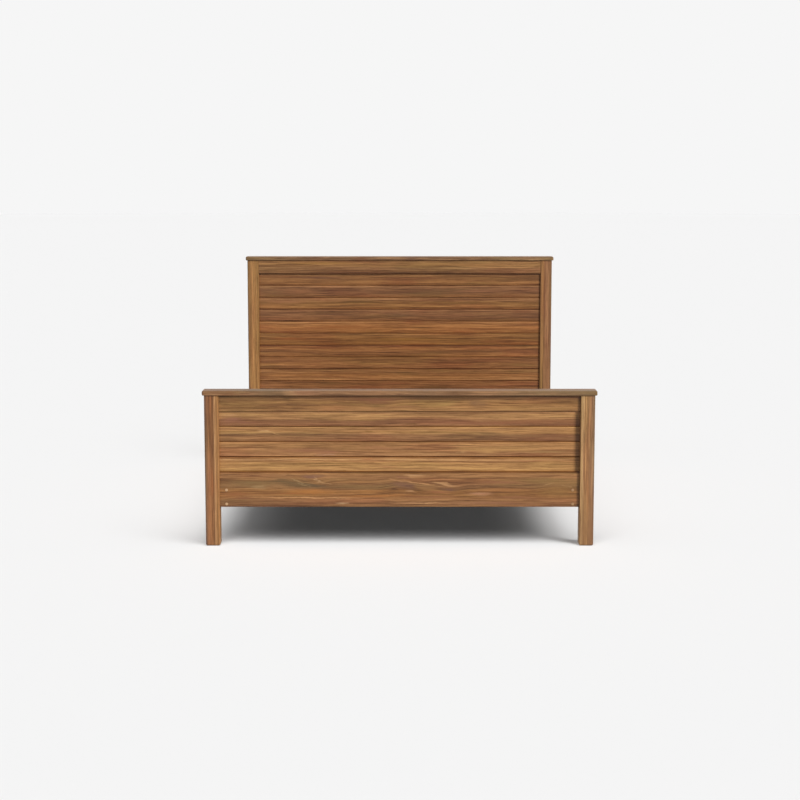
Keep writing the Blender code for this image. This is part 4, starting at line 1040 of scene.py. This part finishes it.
floor = stage_disc("studio_floor", 60.0, -0.0004)
g = Graph("floor_paint")
g.shader.inputs["Specular IOR Level"].default_value = 0.0
g.shader.inputs["Roughness"].default_value = 1.0
FLOOR = 0.80
g.shader.inputs["Base Color"].default_value = (FLOOR, FLOOR, FLOOR, 1.0)
FLOOR_GLOW = 0.028
g.shader.inputs["Emission Color"].default_value = (1.0, 1.0, 1.0, 1.0)
g.shader.inputs["Emission Strength"].default_value = FLOOR_GLOW
floor.data.materials.append(g.material)
floor.visible_diffuse = False

# A dark card lies flat under the slats, out of the camera's sight. It keeps the floor below as dark as the mattress would.
card = bpy.data.objects.new("shade_card", bpy.data.meshes.new("shade_card"))
build = bmesh.new()
bmesh.ops.create_grid(build, x_segments=1, y_segments=1, size=1.0, matrix=Matrix.Translation((-0.018, 0.0, 0.163)) @ Matrix.Diagonal((0.725, 1.038, 1.0, 1.0)))
build.to_mesh(card.data)
build.free()
scene.collection.objects.link(card)
card_paint = Graph("card_paint")
card_paint.shader.inputs["Base Color"].default_value = (0.02, 0.02, 0.02, 1.0)
card.data.materials.append(card_paint.material)
for ray in ("camera", "glossy", "transmission"):
    setattr(card, f"visible_{ray}", False)

# A small flag rises from the right foot post towards the bed. It shapes the short dark wedge that the post throws on the floor.
flag = bpy.data.objects.new("foot_flag", bpy.data.meshes.new("foot_flag"))
flag.data.from_pydata([(0.762, -1.070, 0.003), (0.762, -0.972, 0.003), (0.620, -0.9665, 0.100), (0.620, -0.9915, 0.100)], [], [(0, 1, 2, 3)])
scene.collection.objects.link(flag)
flag.data.materials.append(card_paint.material)
for ray in ("camera", "glossy", "transmission", "diffuse"):
    setattr(flag, f"visible_{ray}", False)

shaders_of_floor = bpy.data.collections.new("shades_the_floor")
for made in [card, flag] + [o for o in bpy.data.objects if o.name.startswith("visual_") and ("post" in o.name or "centre_leg" in o.name)]:
    shaders_of_floor.objects.link(made)
shaders_low = bpy.data.collections.new("shades_the_floor_from_the_sides")
for made in [card] + [o for o in bpy.data.objects if o.name.startswith("visual_centre_leg")]:
    shaders_low.objects.link(made)
floor_only = bpy.data.collections.new("floor_only")
floor_only.objects.link(floor)
not_floor = bpy.data.collections.new("not_the_floor")
not_floor.objects.link(floor)
not_floor.collection_objects[0].light_linking.link_state = "EXCLUDE"
head_planks = bpy.data.collections.new("head_planks")
not_head_planks = bpy.data.collections.new("not_the_head_planks")
not_head_planks.objects.link(floor)
for made in [o for o in bpy.data.objects if o.name.startswith("visual_head_plank")]:
    head_planks.objects.link(made)
    not_head_planks.objects.link(made)
for entry in not_head_planks.collection_objects:
    entry.light_linking.link_state = "EXCLUDE"
not_card = bpy.data.collections.new("not_the_card")
for made in (card, flag, floor):
    not_card.objects.link(made)
for entry in not_card.collection_objects:
    entry.light_linking.link_state = "EXCLUDE"


def sun(name, toward, spread, strength, on_floor=False, blockers=None, colour=(1, 1, 1), receivers=None):
    """A broad even light. toward points from the bed to the light; strength 1 lights a white face square to it to white."""
    light = bpy.data.lights.new(name, "SUN")
    light.angle = math.radians(spread)
    light.energy = strength * math.pi
    light.color = colour
    made = bpy.data.objects.new(name, light)
    scene.collection.objects.link(made)
    made.rotation_euler = Vector(toward).to_track_quat("Z", "Y").to_euler()
    made.light_linking.receiver_collection = floor_only if on_floor else (receivers or not_floor)
    made.light_linking.blocker_collection = (blockers or shaders_of_floor) if on_floor else not_card
    made.visible_glossy = spread > 60 and not on_floor
    return made


FRONT_TOP = Vector((0.20, -0.64, 1.0)).normalized()
RIGHT = Vector((1.0, -0.35, 1.1)).normalized()
LEFT = Vector((-1.0, -0.30, 1.1)).normalized()
ON_FLOOR = (PALE - FLOOR_GLOW) / FLOOR - AMBIENT - 0.012
sun("floor_light_front", FRONT_TOP, 60, ON_FLOOR * 0.70 / FRONT_TOP.z, on_floor=True)
sun("floor_light_right", RIGHT, 44, ON_FLOOR * 0.18 / RIGHT.z, on_floor=True, blockers=shaders_low)
sun("floor_light_left", LEFT, 44, ON_FLOOR * 0.12 / LEFT.z, on_floor=True, blockers=shaders_low)
# The headboard's sunk boards take the key light from nearer the front, so that their post shades only a narrow strip.
sun("key", (1.10, -1.0, 0.50), 18, 1.38, receivers=not_head_planks)
sun("key_on_head_planks", (0.48, -1.0, 0.50), 18, 1.07, receivers=head_planks)
sun("sky", (0.15, -0.5, 1.0), 130, 0.42)
sun("back_key", (-1.0, 0.9, 0.34), 50, 1.15)
sun("front_fill", (-0.5, -1.0, 0.15), 90, 0.12)
sun("bounce", (0.0, -0.3, -1.0), 150, 0.18)

cam = bpy.data.cameras.new("camera")
cam.lens = 76.545
cam.sensor_width = 36.0
cam.shift_x = 0.38 / 800
cam.shift_y = 2.4 / 800
cam.clip_end = 200.0
camera = bpy.data.objects.new("camera", cam)
scene.collection.objects.link(camera)
camera.location = (0.0, -8.0995, 1.554)
camera.rotation_euler = (math.radians(82.33), 0.0, 0.0)
scene.camera = camera
